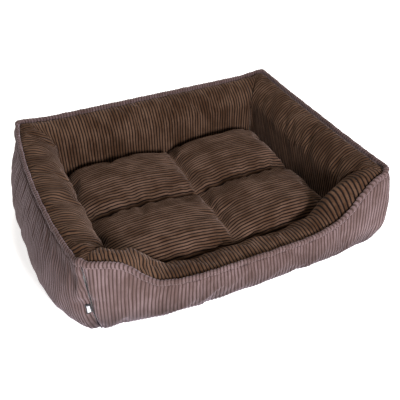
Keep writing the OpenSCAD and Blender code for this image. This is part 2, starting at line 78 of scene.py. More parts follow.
half_length, half_depth = 460 * MM, 370 * MM
corner_height, entry_height = 286 * MM, 128 * MM
flange_height, flange_half = 13 * MM, 5 * MM
lining_gap = 0.3 * MM
wall_depth = half_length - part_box("base_lining")[1].x - lining_gap
belly_level = [0.62, 0.46, 0.42, 0.46]
bulges = np.array([15, 52, 40, 56]) * MM
bows = np.array([12, 0, 0, 30]) * MM
sags = np.array([0, 6, 13, 6]) * MM
corner_swells = np.array([-12, 14, 6, 12]) * MM
bottom_tuck = 34 * MM
entry_offset, entry_half_width = 20 * MM, 333 * MM
entry_slope_start, entry_steep_width, entry_steep_share = 150 * MM, 130 * MM, 0.45
rim_zip_length, zip_room_end = 640 * MM, 34 * MM
plain_flat = 0.3
back_flat = (rim_zip_length / 2 + zip_room_end) / (half_length + bulges[BACK])
low_reach, high_reach = 0.57, 0.43
crown_rise, crown_place, drop_share = 22 * MM, 0.45, 0.6

rib_pitch = 10 * MM
rib_depth = 1.9 * MM
cloth_thickness = 2.4 * MM
rim_zip_z = (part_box("rim_zip_upper_coil")[0].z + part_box("rim_zip_lower_coil")[1].z) / 2
rim_zip_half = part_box("rim_zip_upper_coil")[1].x
print("wall depth", round(wall_depth, 4), "rim zip at", round(rim_zip_z, 4))

# %% [markdown]
# Each wall is two curves swept along its length: an outer face that bellies out from a tucked
# bottom seam, and an inner face that rolls over the bolster's crown and drops to the base. A
# cubic Bezier curve gives such a plump outline with four points, so the walls are written as
# two short functions of u (along, -1 to 1) and t (up or down the face, 0 to 1).

# %% Shape of the walls
def lerp(a, b, t):
    return a + (b - a) * t


def smooth(t):
    c = np.clip(t, 0, 1)
    return c * c * (3 - 2 * c)


def fullness(side, u):
    flat = back_flat if side == BACK else plain_flat
    past = np.maximum(0, np.abs(u) - flat) / (1 - flat)
    return 1 - past * past


def entry_rise(x):
    away = np.abs(x - entry_offset)
    reach = half_length - entry_offset * np.sign(x - entry_offset)
    ramp = np.clip((away - entry_slope_start) / (reach - entry_slope_start), 0, 1)
    steep = smooth(0.5 + (away - entry_half_width) / entry_steep_width)
    return (1 - entry_steep_share) * ramp * ramp * (2 - ramp) + entry_steep_share * steep


def edge_height(side, u):
    if side == FRONT:
        return lerp(entry_height, corner_height, entry_rise(u * half_length))
    return corner_height - sags[side] * fullness(side, u)


def outer_face(side, u):
    h = edge_height(side, u) - flange_height
    corner = np.where(u < 0, corner_swells[side], corner_swells[(side + 1) % 4])
    swell = lerp(corner, bulges[side], fullness(side, u))
    reach = (8 * swell + bottom_tuck) / 3
    b = bows[side] * (1 - u * u)
    return [
        (b / 2 - bottom_tuck, 0 * h),
        (b + reach * low_reach, 0 * h),
        (b + reach * high_reach, h * belly_level[side]),
        (b + flange_half, h),
    ]


def inner_face(side, u):
    h = edge_height(side, u) - flange_height
    low = np.clip((corner_height - edge_height(side, u)) / (corner_height - entry_height), 0, 1)
    b = bows[side] * (1 - u * u)
    drop = h * drop_share
    return [
        (b - flange_half, h),
        (b * 0.7 - crown_place * wall_depth, h + crown_rise),
        (0 * h - wall_depth, lerp(lerp(drop, h, 0.62), h, low)),
        (0 * h - wall_depth, drop),
    ]


def on_curve(points, s):
    weights = [(1 - s) ** 3, 3 * s * (1 - s) ** 2, 3 * s * s * (1 - s), s**3]
    return tuple(sum(w * p[k] for w, p in zip(weights, points)) for k in (0, 1))


def place(side, u, out, z):
    x, y = half_length + out, half_depth + out
    rows = {
        FRONT: (u * x, -y, z), RIGHT: (x, u * y, z), BACK: (-u * x, y, z), LEFT: (-x, -u * y, z),
    }[side]
    return np.stack(np.broadcast_arrays(*rows), -1)


def half_span(side):
    return half_length if side in (FRONT, BACK) else half_depth


# %% [markdown]
# The inner face needs a straight drop below its curve. Its share t runs over both: the curve
# takes the first part of the cloth and the straight drop takes the rest.

# %% The two faces as functions of u and t
CURVE_SHARE = 0.62
FOOT_HEIGHT = 2.3 * MM


def outer_point(side, u, t):
    return on_curve(outer_face(side, u), t)


def inner_point(side, u, t):
    p = inner_face(side, u)
    out, z = on_curve(p, np.clip(t / CURVE_SHARE, 0, 1))
    below = np.clip((t - CURVE_SHARE) / (1 - CURVE_SHARE), 0, 1)
    return out, np.where(t > CURVE_SHARE, lerp(p[3][1], FOOT_HEIGHT, below), z)


def base_point(side, face, u, t):
    out, z = (outer_point if face == "outer" else inner_point)(side, u, t)
    return place(side, u, out, z)


print("front edge at its lowest", round(float(edge_height(FRONT, np.array(0.04))), 4))

# %% [markdown]
# Seen from above, stuffed corners aren't sharp mitres: the cloth goes round them. This warp
# takes any point near a corner and pushes it onto a rounded one, in the same way for every
# piece of the rim. The cushion uses it too, with a fade towards its middle.

# %% Round the corners in plan
def round_corners(points, half=(half_length, half_depth), radius=34 * MM, power=2.6, fade=None):
    x, y = np.abs(points[..., 0]), np.abs(points[..., 1])
    out = np.maximum(x - half[0], y - half[1])
    r = np.full(out.shape, radius) if fade is None else radius * np.clip(1 + out / fade, 1e-4, 1)
    a, b = x - half[0] - out + r, y - half[1] - out + r
    straight = (a <= 0) | (b <= 0)
    a, b = np.maximum(a, 1e-9), np.maximum(b, 1e-9)
    k = r / (a**power + b**power) ** (1 / power)
    rounded = points.copy()
    rounded[..., 0] = np.sign(points[..., 0]) * np.where(straight, x, half[0] + out - r + a * k)
    rounded[..., 1] = np.sign(points[..., 1]) * np.where(straight, y, half[1] + out - r + b * k)
    return rounded


# %% [markdown]
# A cloth piece is a bmesh grid whose vertices are then put in place. create_grid makes the
# faces, and the helper sets all the coordinates in one go. A second helper makes a tube, which
# is a grid whose last row is joined to its first.

# %% Grid helpers
def grid_bmesh(rows, columns):
    bm = bmesh.new()
    bmesh.ops.create_grid(bm, x_segments=columns - 1, y_segments=rows - 1, size=0.5)
    return bm


def finish_mesh(bm, name):
    mesh = bpy.data.meshes.new(name)
    bm.to_mesh(mesh)
    bm.free()
    mesh.polygons.foreach_set("use_smooth", np.ones(len(mesh.polygons), bool))
    piece = bpy.data.objects.new(name, mesh)
    bpy.context.scene.collection.objects.link(piece)
    return piece


def cloth_grid(name, points):
    """A grid piece from points[row, column, xyz]. Its faces look along column x row."""
    rows, columns = points.shape[:2]
    piece = finish_mesh(grid_bmesh(rows, columns), name)
    piece.data.vertices.foreach_set("co", points.astype(np.float32).ravel())
    piece.data.update()
    return piece


def weld(piece, capped=False):
    """Joins rows of vertices that lie on each other, fills open ends and turns faces outward."""
    bm = bmesh.new()
    bm.from_mesh(piece.data)
    bmesh.ops.remove_doubles(bm, verts=bm.verts, dist=2e-6)
    if capped:
        bmesh.ops.holes_fill(bm, edges=[e for e in bm.edges if e.is_boundary], sides=0)
    bmesh.ops.recalc_face_normals(bm, faces=bm.faces)
    bm.to_mesh(piece.data)
    bm.free()
    return piece


def closed_tube(name, points, attributes=()):
    """A tube from points[ring, place round it, xyz]. Its ends are filled unless they meet."""
    looped = np.concatenate([points, points[:, :1]], 1)
    piece = cloth_grid(name, looped)
    for key, values in attributes:
        add_attribute(piece, key, np.concatenate([values, values[:, :1]], 1))
    return weld(piece, capped=True)


def many_small(name, matrices, make, batch=40):
    """One piece from many small copies: make(bm, matrix) adds one. An operator looks through the
    whole bmesh at each call, so they are made in small batches that are then put together."""
    together = bmesh.new()
    for first in range(0, len(matrices), batch):
        bm = bmesh.new()
        for matrix in matrices[first:first + batch]:
            make(bm, matrix)
        part = bpy.data.meshes.new(name + "_part")
        bm.to_mesh(part)
        bm.free()
        together.from_mesh(part)
        bpy.data.meshes.remove(part)
    return finish_mesh(together, name)


def add_attribute(piece, name, values):
    layer = piece.data.attributes.new(name, "FLOAT", "POINT")
    layer.data.foreach_set("value", np.asarray(values, np.float32).ravel())


def thicken(piece, thickness=cloth_thickness):
    solid = piece.modifiers.new("thickness", "SOLIDIFY")
    solid.thickness = thickness
    solid.offset = -1
    return piece


# %% [markdown]
# Puffed cloth. Each cover starts as a coarse grid of cells about 13 mm wide. It is pinned along
# its seams, cut a few per cent larger than the shape it covers, and blown up from inside by
# Blender's Cloth, so that it swells and buckles into soft puckers as stuffed cloth does. Only
# the way each vertex moved is kept, without most of its broad swelling and with a cap, as a
# smooth field that the fine mesh adds later.

# %% Blow up the covers
SIM_FRAMES = 22
CELL = 13 * MM
BROAD_TAKEN_AWAY = 0.8
waiting = []
puffs = {}


def queue_puff(key, points, fixed, spare, pressure, cap):
    piece = cloth_grid("puff_" + key, points)
    group = piece.vertex_groups.new(name="seams")
    group.add(np.flatnonzero(fixed.ravel()).tolist(), 1.0, "REPLACE")
    cloth = piece.modifiers.new("cloth", "CLOTH")
    settings = cloth.settings
    settings.quality = 6
    settings.mass = 0.25
    settings.tension_stiffness = settings.compression_stiffness = 18
    settings.shear_stiffness = 8
    settings.bending_stiffness = 1.4
    settings.vertex_group_mass = "seams"
    settings.pin_stiffness = 1
    settings.use_pressure = True
    settings.uniform_pressure_force = pressure
    settings.shrink_min = -spare
    settings.effector_weights.gravity = 0
    settings.air_damping = 4
    cloth.collision_settings.use_self_collision = False
    cloth.point_cache.frame_start, cloth.point_cache.frame_end = 1, SIM_FRAMES
    waiting.append((key, piece, points, cap))


def broad_part(shift, passes=30):
    """The swelling at the scale of the whole cover, without its puckers: a repeated average."""
    broad = shift.copy()
    for _ in range(passes):
        middle = broad[1:-1, 1:-1]
        beside = broad[:-2, 1:-1] + broad[2:, 1:-1] + broad[1:-1, :-2] + broad[1:-1, 2:]
        broad[1:-1, 1:-1] = 0.5 * middle + 0.125 * beside
    return broad


def run_puffs():
    scene = bpy.context.scene
    for number in range(1, SIM_FRAMES + 1):
        scene.frame_set(number)
    graph = bpy.context.evaluated_depsgraph_get()
    for key, piece, points, cap in waiting:
        moved = np.zeros(points.size, np.float32)
        piece.evaluated_get(graph).data.vertices.foreach_get("co", moved)
        shift = moved.reshape(points.shape) - points
        shift = shift - BROAD_TAKEN_AWAY * broad_part(shift)
        far = np.linalg.norm(shift, axis=-1, keepdims=True)
        puffs[key] = shift * cap * np.tanh(far / cap) / np.maximum(far, 1e-9)
        print("puffed", key, points.shape[:2], "moves up to", round(float(far.max()) * 1000, 1), "mm")
        bpy.data.objects.remove(piece)
    waiting.clear()
    scene.frame_set(1)


# %% [markdown]
# The field is read at any place on the cover with a Catmull-Rom curve both ways, which is
# smooth and goes through every simulated vertex.

# %% Read the puffed field at any place
def catmull_rom(field, row, column):
    def weights(f):
        return [
            -0.5 * f + f * f - 0.5 * f**3, 1 - 2.5 * f * f + 1.5 * f**3,
            0.5 * f + 2 * f * f - 1.5 * f**3, -0.5 * f * f + 0.5 * f**3,
        ]

    rows, columns = field.shape[:2]
    r0, c0 = np.floor(row).astype(int), np.floor(column).astype(int)
    wr, wc = weights(row - r0), weights(column - c0)
    total = 0
    for i in range(4):
        for j in range(4):
            r = np.clip(r0 + i - 1, 0, rows - 1)
            c = np.clip(c0 + j - 1, 0, columns - 1)
            total = total + (wr[i] * wc[j])[..., None] * field[r, c]
    return total


def puff_at(key, u, t):
    if key not in puffs:
        return np.zeros(u.shape + (3,))
    rows, columns = puffs[key].shape[:2]
    row, column = np.clip(t, 0, 1) * (rows - 1), np.clip((u + 1) / 2, 0, 1) * (columns - 1)
    return catmull_rom(puffs[key], row, column)


# %% Queue the eight wall covers
def border(rows, columns):
    fixed = np.zeros((rows, columns), bool)
    fixed[[0, -1]] = True
    fixed[:, [0, -1]] = True
    return fixed


SPARE_CLOTH = {"outer": [0.008, 0.010, 0.010, 0.016], "inner": [0.014, 0.024, 0.024, 0.036]}
PUFFED_LENGTH = {"outer": 300 * MM, "inner": 330 * MM}
WALL_PRESSURE, WALL_CAP = 2.0, 9 * MM
ZIP_HELD = 9 * MM
for side in (FRONT, RIGHT, BACK, LEFT):
    for face, length in PUFFED_LENGTH.items():
        columns = int(2 * half_span(side) / CELL)
        rows = int(length / CELL)
        u, t = np.meshgrid(np.linspace(-1, 1, columns), np.linspace(0, 1, rows))
        fixed = border(rows, columns)
        if face == "outer" and side == BACK:
            fixed |= np.abs(base_point(side, face, u, t)[..., 2] - rim_zip_z) < ZIP_HELD
        key, start = f"{SIDE_NAMES[side]}_{face}", base_point(side, face, u, t)
        queue_puff(key, start, fixed, SPARE_CLOTH[face][side], WALL_PRESSURE, WALL_CAP)
print("covers queued", len(waiting))

# %% [markdown]
# The cushion top is quilted: a cross of stitching holds it down and four quarters puff up
# between. The rise over a quarter is a rounded plateau, and the stitching pulls the cloth to a
# share of it. It is simulated like the walls, with the cross pinned too.

# %% Shape of the cushion
cushion_low, cushion_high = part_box("cushion_bottom_panel")[0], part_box("cushion_top_panel")[1]
cushion_half = np.array([cushion_high.x, cushion_high.y])
seam_z = (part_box("cushion_zip_upper_coil")[0].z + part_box("cushion_zip_lower_coil")[1].z) / 2
crown = cushion_high.z - seam_z
seam_drop = seam_z - cushion_low.z
quilt_x = 20 * MM


def edge_roll(p, power):
    return np.maximum(0, 1 - np.minimum(1, p) ** power) ** 0.35


def quilted(p):
    return lerp(0.62, 1, np.sin(np.pi / 2 * np.minimum(1, p / 0.5))) * edge_roll(p, 8)


def cushion_top_point(x, y):
    px = np.abs(x - quilt_x) / np.where(x > quilt_x, cushion_half[0] - quilt_x, cushion_half[0] + quilt_x)
    py = np.abs(y) / cushion_half[1]
    return np.stack([x, y, seam_z + crown * quilted(px) * quilted(py)], -1)


def cushion_bottom_point(x, y):
    fall = edge_roll(np.abs(x) / cushion_half[0], 12) * edge_roll(np.abs(y) / cushion_half[1], 12)
    return np.stack([x, y, seam_z - seam_drop * fall], -1)


# %% Queue the cushion's top cover
def spread(count):
    """Places from -1 to 1 that bunch up at both ends, where the cover turns down."""
    s = np.linspace(-1, 1, count)
    return 0.35 * s + 0.65 * np.sin(np.pi / 2 * s)


top_rows, top_columns = 45, 59
across_s, along_s = np.meshgrid(spread(top_columns), spread(top_rows))
top_start = cushion_top_point(across_s * cushion_half[0], along_s * cushion_half[1])
top_fixed = border(top_rows, top_columns)
top_fixed |= np.abs(top_start[..., 1]) < 1 * MM
quilt_column = int(np.argmin(np.abs(top_start[0, :, 0] - quilt_x)))
top_fixed[:, quilt_column] = True
queue_puff("cushion_top", top_start, top_fixed, spare=0.045, pressure=2.6, cap=13 * MM)
run_puffs()

# %% [markdown]
# Wide-rib corduroy is modelled, not only painted: the ribs stand almost 2 mm above their grooves
# and cast their own shade, and the materials add painted shade in the grooves. Columns of the
# fine grid follow the ribs, six to a rib, with one in each groove.
# A cover is cut from flat cloth, so ribs stay parallel and the corner seams cut across them.
# Each column therefore runs only between the two places where it meets a seam.

# %% Ribs and the trimmed grid
SAMPLES_PER_RIB = 6


def rib_height(across):
    s = (across / rib_pitch) % 1 * 2 - 1
    return rib_depth * (np.sqrt(np.maximum(0, 1 - s * s)) - 0.5)


def seam_reach(side, face, end, t):
    """How far the corner seam at that end (-1 or 1) lies from the wall's middle."""
    out, _ = (outer_point if face == "outer" else inner_point)(side, np.array(float(end)), t)
    return half_span(side) + out


def rib_columns(side, face):
    t = np.linspace(0, 1, 401)
    step = rib_pitch / SAMPLES_PER_RIB
    reach = [float(seam_reach(side, face, end, t).max()) - 0.3 * MM for end in (-1, 1)]
    inner = np.arange(-int(reach[0] / step), int(reach[1] / step) + 1) * step
    return np.concatenate([[-reach[0]], inner, [reach[1]]])


def trimmed_range(x, side, face):
    """The first and last t at which a column at x lies inside the seams."""
    t = np.linspace(0, 1, 401)
    limit = seam_reach(side, face, 1 if x > 0 else -1, t)
    inside = np.flatnonzero(limit >= abs(x))
    if len(inside) == 0:
        best = t[int(np.argmax(limit))]
        return best, best
    ends = []
    for k, beyond in ((inside[0], -1), (inside[-1], 1)):
        other = k + beyond
        if 0 <= other <= 400:
            share = (abs(x) - limit[k]) / (limit[other] - limit[k])
            ends.append(t[k] + share * (t[other] - t[k]))
        else:
            ends.append(t[k])
    return ends[0], ends[1]


# %% [markdown]
# Small gathers run out from the top seam, because the thick flange is sewn tighter than the
# cloth below it. They are strongest on the left wall. The pattern is a sum of sines whose
# lengths share no common measure, so it looks random but never changes.

# %% Gathers and seam pinches
FOLD = {"inner": 2.6 * MM, "outer": 1.5 * MM}
FOLD_END = {"inner": 0.75, "outer": 1.0}
PUCKER = {"inner": np.array([1.1, 1.4, 1.6, 3.4]) * MM, "outer": np.array([0.8, 1.0, 1.0, 1.8]) * MM}
PUCKER_REACH, PUCKER_START = 55 * MM, 8 * MM
CORNER_PINCH, CORNER_PINCH_REACH = 3.2 * MM, 7 * MM
TOP_PINCH, TOP_PINCH_REACH = 1.6 * MM, 5 * MM


def uneven(x, seed):
    waves = ((0.043, 1.0), (0.0271, 0.7), (0.0713, 0.8), (0.117, 0.6))
    return sum(a * np.sin(2 * np.pi * x / w + seed * (k + 1.7)) for k, (w, a) in enumerate(waves)) / 2


def relief(side, face, x, t, length, from_corner):
    from_top = (1 - t if face == "outer" else t) * length
    gather = PUCKER[face][side] * uneven(x, side + 2.3) * np.exp(-from_top / PUCKER_REACH)
    gather = gather * (1 - np.exp(-from_top / PUCKER_START))
    fold = FOLD[face] * uneven(x * 0.55 + 0.35 * from_top, side + 5.1)
    crease = fold * np.sin(np.pi * np.clip(t / FOLD_END[face], 0, 1))
    pinch = -CORNER_PINCH * np.exp(-from_corner / CORNER_PINCH_REACH)
    pinch = pinch - TOP_PINCH * np.exp(-from_top / TOP_PINCH_REACH)
    return gather + crease + pinch


# %% The fine cover
FACE_LENGTH = {"outer": 310 * MM, "inner": 330 * MM}
ROW_STEP = 8 * MM
CLEAR_OF_CUSHION = 2.6 * MM


def cover_point(side, face, u, t):
    u, t = np.clip(u, -1, 1), np.clip(t, 0, 1)
    swell = puff_at(f"{SIDE_NAMES[side]}_{face}", u, t)
    if face == "inner":
        swell = swell * (1 - 0.85 * smooth((t - 0.42) / 0.25))[..., None]
    points = base_point(side, face, u, t) + swell
    if face == "inner":
        axis, sign = (1, 0, 1, 0)[side], (-1, 1, 1, -1)[side]
        half = half_depth if axis == 1 else half_length
        nearest = half - wall_depth + CLEAR_OF_CUSHION
        points[..., axis] = sign * np.maximum(sign * points[..., axis], nearest)
    return round_corners(points)


def cover_normal(side, face, u, t, step=0.004):
    along = cover_point(side, face, u + step, t) - cover_point(side, face, u - step, t)
    up = cover_point(side, face, u, t + step) - cover_point(side, face, u, t - step)
    normal = np.cross(along, up)
    return normal / np.maximum(np.linalg.norm(normal, axis=-1, keepdims=True), 1e-12)


def flat_size(x, smooth_shape):
    """Size and area of the cloth as cut: each column runs as far as the smooth shape it lies on."""
    lengths = np.linalg.norm(np.diff(smooth_shape, axis=0), axis=-1).sum(0)
    area = float(((lengths[1:] + lengths[:-1]) / 2 * np.diff(x)).sum())
    return (float(np.ptp(x)), float(lengths.max())), area


def ribbed_cover(name, side, face, low=None, high=None):
    """A corduroy wall cover. low and high trim it by t, as functions of x, for the zipped wall."""
    x = rib_columns(side, face)
    spans = np.array([trimmed_range(v, side, face) for v in x])
    first = spans[:, 0] if low is None else np.maximum(spans[:, 0], low(x))
    last = spans[:, 1] if high is None else np.maximum(np.minimum(spans[:, 1], high(x)), first)
    length = FACE_LENGTH[face] * float((last - first).max())
    rows = max(4, int(length / ROW_STEP))
    share = np.linspace(0, 1, rows)[:, None]
    t = first + (last - first) * share
    x = np.broadcast_to(x, t.shape)
    reach = np.where(x < 0, seam_reach(side, face, -1, t), seam_reach(side, face, 1, t))
    u = np.clip(x / reach, -1, 1)
    height = rib_height(x) + relief(side, face, x, t, FACE_LENGTH[face], reach - np.abs(x))
    points = cover_point(side, face, u, t) + height[..., None] * cover_normal(side, face, u, t)
    points[..., 2] = np.maximum(points[..., 2], 0.4 * MM)
    piece = cloth_grid(name, points)
    add_attribute(piece, "across", x)
    add_attribute(piece, "along", t * FACE_LENGTH[face])
    thicken(piece)
    flat, area = flat_size(x[0], base_point(side, face, u, t))
    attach(piece, "rim")
    print(name, "grid", t.shape, "cut from", [round(v, 3) for v in flat], "m")
    return piece


# %% [markdown]
# The back wall opens with a zip along its widest line. Its cover stops just above the zip and a
# separate strip runs below it, so the same function makes both, trimmed by height.

# %% Make the wall covers
ZIP_OPENING, SEWN_OPENING = 4.2 * MM, 0.4 * MM


def zip_cut(direction):
    """t on the back wall at the edge of the zip's opening, above (1) or below (-1) it."""
    def cut(x):
        past_zip = smooth((np.abs(x) - rim_zip_half - 6 * MM) / (14 * MM))
        open_half = lerp(ZIP_OPENING, SEWN_OPENING, past_zip)
        t = np.linspace(0, 1, 801)
        _, z = on_curve(outer_face(BACK, np.array(0.0)), t)
        corner_z = on_curve(outer_face(BACK, np.array(1.0)), t)[1]
        blend = smooth((np.abs(x) - rim_zip_half) / (half_length - rim_zip_half))
        middle = np.interp(rim_zip_z + direction * open_half, z, t)
        corner = np.interp(rim_zip_z + direction * open_half, corner_z, t)
        return lerp(middle, corner, blend)
    return cut


covers = {}
for side in (FRONT, RIGHT, BACK, LEFT):
    wall = SIDE_NAMES[side]
    above = zip_cut(1) if side == BACK else None
    covers[wall, "outer"] = ribbed_cover(f"{wall}_outer_cover", side, "outer", low=above)
    covers[wall, "inner"] = ribbed_cover(f"{wall}_inner_cover", side, "inner")
    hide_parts(f"{wall}_outer_panel")
    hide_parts(f"{wall}_inner_panel")
covers["back", "strip"] = ribbed_cover("back_lower_cover", BACK, "outer", high=zip_cut(-1))
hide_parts("back_lower_strip")

# %% [markdown]
# The flange is where inner and outer covers are sewn together and topstitched: four layers of
# corduroy, 13 mm tall, that go all the way round. Its cross-section is a rounded loop, and the
# ribs run over its top, which gives the edge its scallops. One tube goes round the whole rim.

# %% The topstitched flange
section = np.array([
    (0, -4), (3.2, -3.2), (4.6, -1.5), (4.0, 0.6), (4.7, 3.6), (5.0, 7.0), (4.3, 10.2), (2.6, 12.4),
    (0, 13.2), (-2.6, 12.4), (-4.3, 10.2), (-5.0, 7.0), (-4.7, 3.6), (-4.0, 0.6), (-4.6, -1.5), (-3.2, -3.2),
]) * MM
section_turn = np.roll(section, -1, 0) - np.roll(section, 1, 0)
section_normal = np.stack([-section_turn[:, 1], section_turn[:, 0]], -1)
section_normal *= -1 / np.linalg.norm(section_normal, axis=1, keepdims=True)


def end_bump(side, u):
    """The little fold that stands up where the left flange meets the front one."""
    lump = 6.5 * MM * np.exp(-(((u - 0.972) * half_depth / 0.008) ** 2))
    return lump if side == LEFT else 0 * u


def flange_rings():
    rings, across = [], []
    step = rib_pitch / SAMPLES_PER_RIB
    for side in (FRONT, RIGHT, BACK, LEFT):
        count = int(half_span(side) / step)
        x = np.arange(-count, count + 1) * step
        u = x / half_span(side)
        seam = edge_height(side, u) - flange_height
        middle = bows[side] * (1 - u * u) + 0.9 * MM * uneven(x * 0.8, side + 7.7)
        upper = np.clip(section[:, 1] / flange_height, 0, 1)
        rise = end_bump(side, u)[:, None] * upper + 0.5 * MM * uneven(x, side + 3.1)[:, None]
        push = rib_height(x)[:, None]
        out = middle[:, None] + section[:, 0] + push * section_normal[:, 0]
        z = seam[:, None] + section[:, 1] + push * section_normal[:, 1] + rise
        rings.append(place(side, np.broadcast_to(u[:, None], out.shape), out, z))
        across.append(np.broadcast_to(x[:, None], out.shape))
    rings, across = np.concatenate(rings), np.concatenate(across)
    return np.concatenate([rings, rings[:1]]), np.concatenate([across, across[:1]])


rings, ring_across = flange_rings()
ring_along = np.broadcast_to(np.linspace(0, 0.045, len(section)), ring_across.shape)
flange = closed_tube("rim_flange", round_corners(rings), [("across", ring_across), ("along", ring_along)])
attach(flange, "rim")
print("flange rings", len(rings), "faces", len(flange.data.polygons))


# %% [markdown]
# Topstitching is a row of short threads that bed into the cloth. Each stitch is a small
# stretched sphere of a few dozen faces, placed by a matrix at the flange's seam line, on both
# sides. A lockstitch shows about four threads in 25 mm.

# %% Topstitching along the flange
STITCH, STITCH_GAP, THREAD = 4.6 * MM, 1.7 * MM, 0.55 * MM


def stitch_places(path):
    steps = np.linalg.norm(np.diff(path, axis=0), axis=1)
    run = np.concatenate([[0], np.cumsum(steps)])
    places = []
    for start in np.arange(0, run[-1] - STITCH, STITCH + STITCH_GAP):
        a, b = (np.array([np.interp(s, run, path[:, k]) for k in range(3)]) for s in (start, start + STITCH))
        turn = Vector(b - a).to_track_quat("X", "Z").to_matrix().to_4x4()
        size = Matrix.Diagonal((STITCH / 2, THREAD, THREAD, 1))
        places.append(Matrix.Translation(Vector((a + b) / 2)) @ turn @ size)
    return places


def add_stitch(bm, matrix):
    bmesh.ops.create_uvsphere(bm, u_segments=6, v_segments=4, radius=1, matrix=matrix)


def flange_line(out_side):
    lines = []
    for side in (FRONT, RIGHT, BACK, LEFT):
        u = np.linspace(-0.992, 0.992, 160)
        x = u * half_span(side)
        out = bows[side] * (1 - u * u) + 0.9 * MM * uneven(x * 0.8, side + 7.7) + out_side * 5.3 * MM
        z = edge_height(side, u) - flange_height + 1.0 * MM + 0.5 * MM * uneven(x, side + 3.1)
        lines.append(place(side, u, out, z))
    path = np.concatenate(lines)
    return round_corners(np.concatenate([path, path[:1]]))


places = [matrix for out_side in (1, -1) for matrix in stitch_places(flange_line(out_side))]
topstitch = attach(many_small("flange_topstitching", places, add_stitch), "rim")
print("stitches", len(places))

# %% [markdown]
# The cushion's cover turns down steeply at its edges. Ribs run along X, so its rows are set by
# distance over the cloth, not by distance across the bed: a profile through the middle of a
# puff is measured, and rows are spaced evenly along it. The columns are spaced the same way.

# %% The cushion's top cover
def even_spacing(half, offset, step_count, profile):
    """Places across the cushion that are evenly spaced over the cloth, and the cloth distance."""
    fine = np.linspace(-1, 1, 4001)
    fine = np.sign(fine) * (1 - (1 - np.abs(fine)) ** 1.6) * half
    rise = profile(fine)
    run = np.concatenate([[0], np.cumsum(np.hypot(np.diff(fine), np.diff(rise)))])
    run = run - np.interp(offset, fine, run)
    step = step_count if step_count < 1 else (run[-1] - run[0]) / step_count
    first, last = math.ceil(run[0] / step), math.floor(run[-1] / step)
    marks = np.concatenate([[run[0]], np.arange(first, last + 1) * step, [run[-1]]])
    return np.interp(marks, run, fine), marks


CUSHION_FADE = 70 * MM
CUSHION_RADIUS = 58 * MM
plump_x, plump_y = cushion_half[0] / 2, cushion_half[1] / 2
cover_inset = 1.6 * MM
cover_half = cushion_half - cover_inset


def across_profile(y):
    return cushion_top_point(np.full(y.shape, plump_x), y * cushion_half[1] / cover_half[1])[..., 2]


def along_profile(x):
    return cushion_top_point(x * cushion_half[0] / cover_half[0], np.full(x.shape, plump_y))[..., 2]


rib_step = rib_pitch / SAMPLES_PER_RIB
row_y, row_run = even_spacing(cover_half[1], 0, rib_step, across_profile)
column_x, column_run = even_spacing(cover_half[0], quilt_x, 104, along_profile)
start_x = top_start[0, :, 0]
start_y = top_start[:, 0, 1]


def cushion_cover_point(x, y):
    scaled_x, scaled_y = x * cushion_half[0] / cover_half[0], y * cushion_half[1] / cover_half[1]
    points = cushion_top_point(scaled_x, scaled_y)
    points[..., 0], points[..., 1] = x, y
    if "cushion_top" in puffs:
        row = np.interp(scaled_y, start_y, np.arange(top_rows))
        column = np.interp(scaled_x, start_x, np.arange(top_columns))
        points = points + catmull_rom(puffs["cushion_top"], row, column)
    points[..., 0] = np.clip(points[..., 0], -cover_half[0], cover_half[0])
    points[..., 1] = np.clip(points[..., 1], -cover_half[1], cover_half[1])
    return round_corners(points, cover_half, CUSHION_RADIUS, 2.3, CUSHION_FADE)


def grid_normal(points):
    along = np.gradient(points, axis=1)
    up = np.gradient(points, axis=0)
    normal = np.cross(along, up)
    return normal / np.maximum(np.linalg.norm(normal, axis=-1, keepdims=True), 1e-12)


QUILT_DEPTH, QUILT_REACH = 10 * MM, 9 * MM
GATHER_REACH, EDGE_REACH, MOST_LIFT = 50 * MM, 22 * MM, 3.0 * MM
SEAM_OVERLAP = 0.6 * MM
ZIP_MOUTH, PULL_HEIGHT, BACK_BAND = 7 * MM, 11 * MM, 30 * MM
zip_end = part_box("cushion_zip_upper_coil")[1].x + 16 * MM
pull_end, set_back = zip_end + 13 * MM, cushion_half[1] - 4.8 * MM

x, y = np.meshgrid(column_x, row_y)
run_y = np.broadcast_to(row_run[:, None], x.shape)
run_x = np.broadcast_to(column_run[None, :], x.shape)
from_cross = np.minimum(np.abs(x - quilt_x), np.abs(y))
from_edge = np.minimum(run_y - row_run[0], row_run[-1] - run_y)
from_edge = np.minimum(from_edge, np.minimum(run_x - column_run[0], column_run[-1] - run_x))
quilt_pinch = -QUILT_DEPTH * np.exp(-from_cross / QUILT_REACH)
quilt_gather = 2.4 * MM * uneven(run_x * 0.9, 4.4) * np.exp(-np.abs(y) / GATHER_REACH)
beside_seam = np.exp(-np.abs(x - quilt_x) / GATHER_REACH)
quilt_gather = quilt_gather + 2.1 * MM * uneven(run_y * 0.9, 8.2) * beside_seam
settle = 1.3 * MM * uneven(run_x * 0.4 + run_y * 0.3, 6.6)
points = cushion_cover_point(x, y)
lift = (rib_height(run_y) + quilt_pinch + quilt_gather + settle) * smooth(from_edge / EDGE_REACH)
points = points + np.minimum(lift, MOST_LIFT)[..., None] * grid_normal(points)
points[..., 0] = np.clip(points[..., 0], -cushion_half[0], cushion_half[0])
points[..., 1] = np.clip(points[..., 1], -cushion_half[1], cushion_half[1])
points[..., 2] = np.maximum(points[..., 2], seam_z - SEAM_OVERLAP)
near_back = y > cover_half[1] - BACK_BAND
zip_mouth = (np.abs(x) < zip_end) & near_back
points[..., 2] = np.where(zip_mouth, np.maximum(points[..., 2], seam_z + ZIP_MOUTH), points[..., 2])
behind_pull = (np.abs(x) < pull_end) & near_back & (points[..., 2] < seam_z + PULL_HEIGHT)
points[..., 1] = np.where(behind_pull, np.minimum(points[..., 1], set_back), points[..., 1])
cushion_cover = cloth_grid("cushion_top_cover", points)
add_attribute(cushion_cover, "across", run_y)
add_attribute(cushion_cover, "along", run_x)
thicken(cushion_cover)
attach(cushion_cover, "cushion")
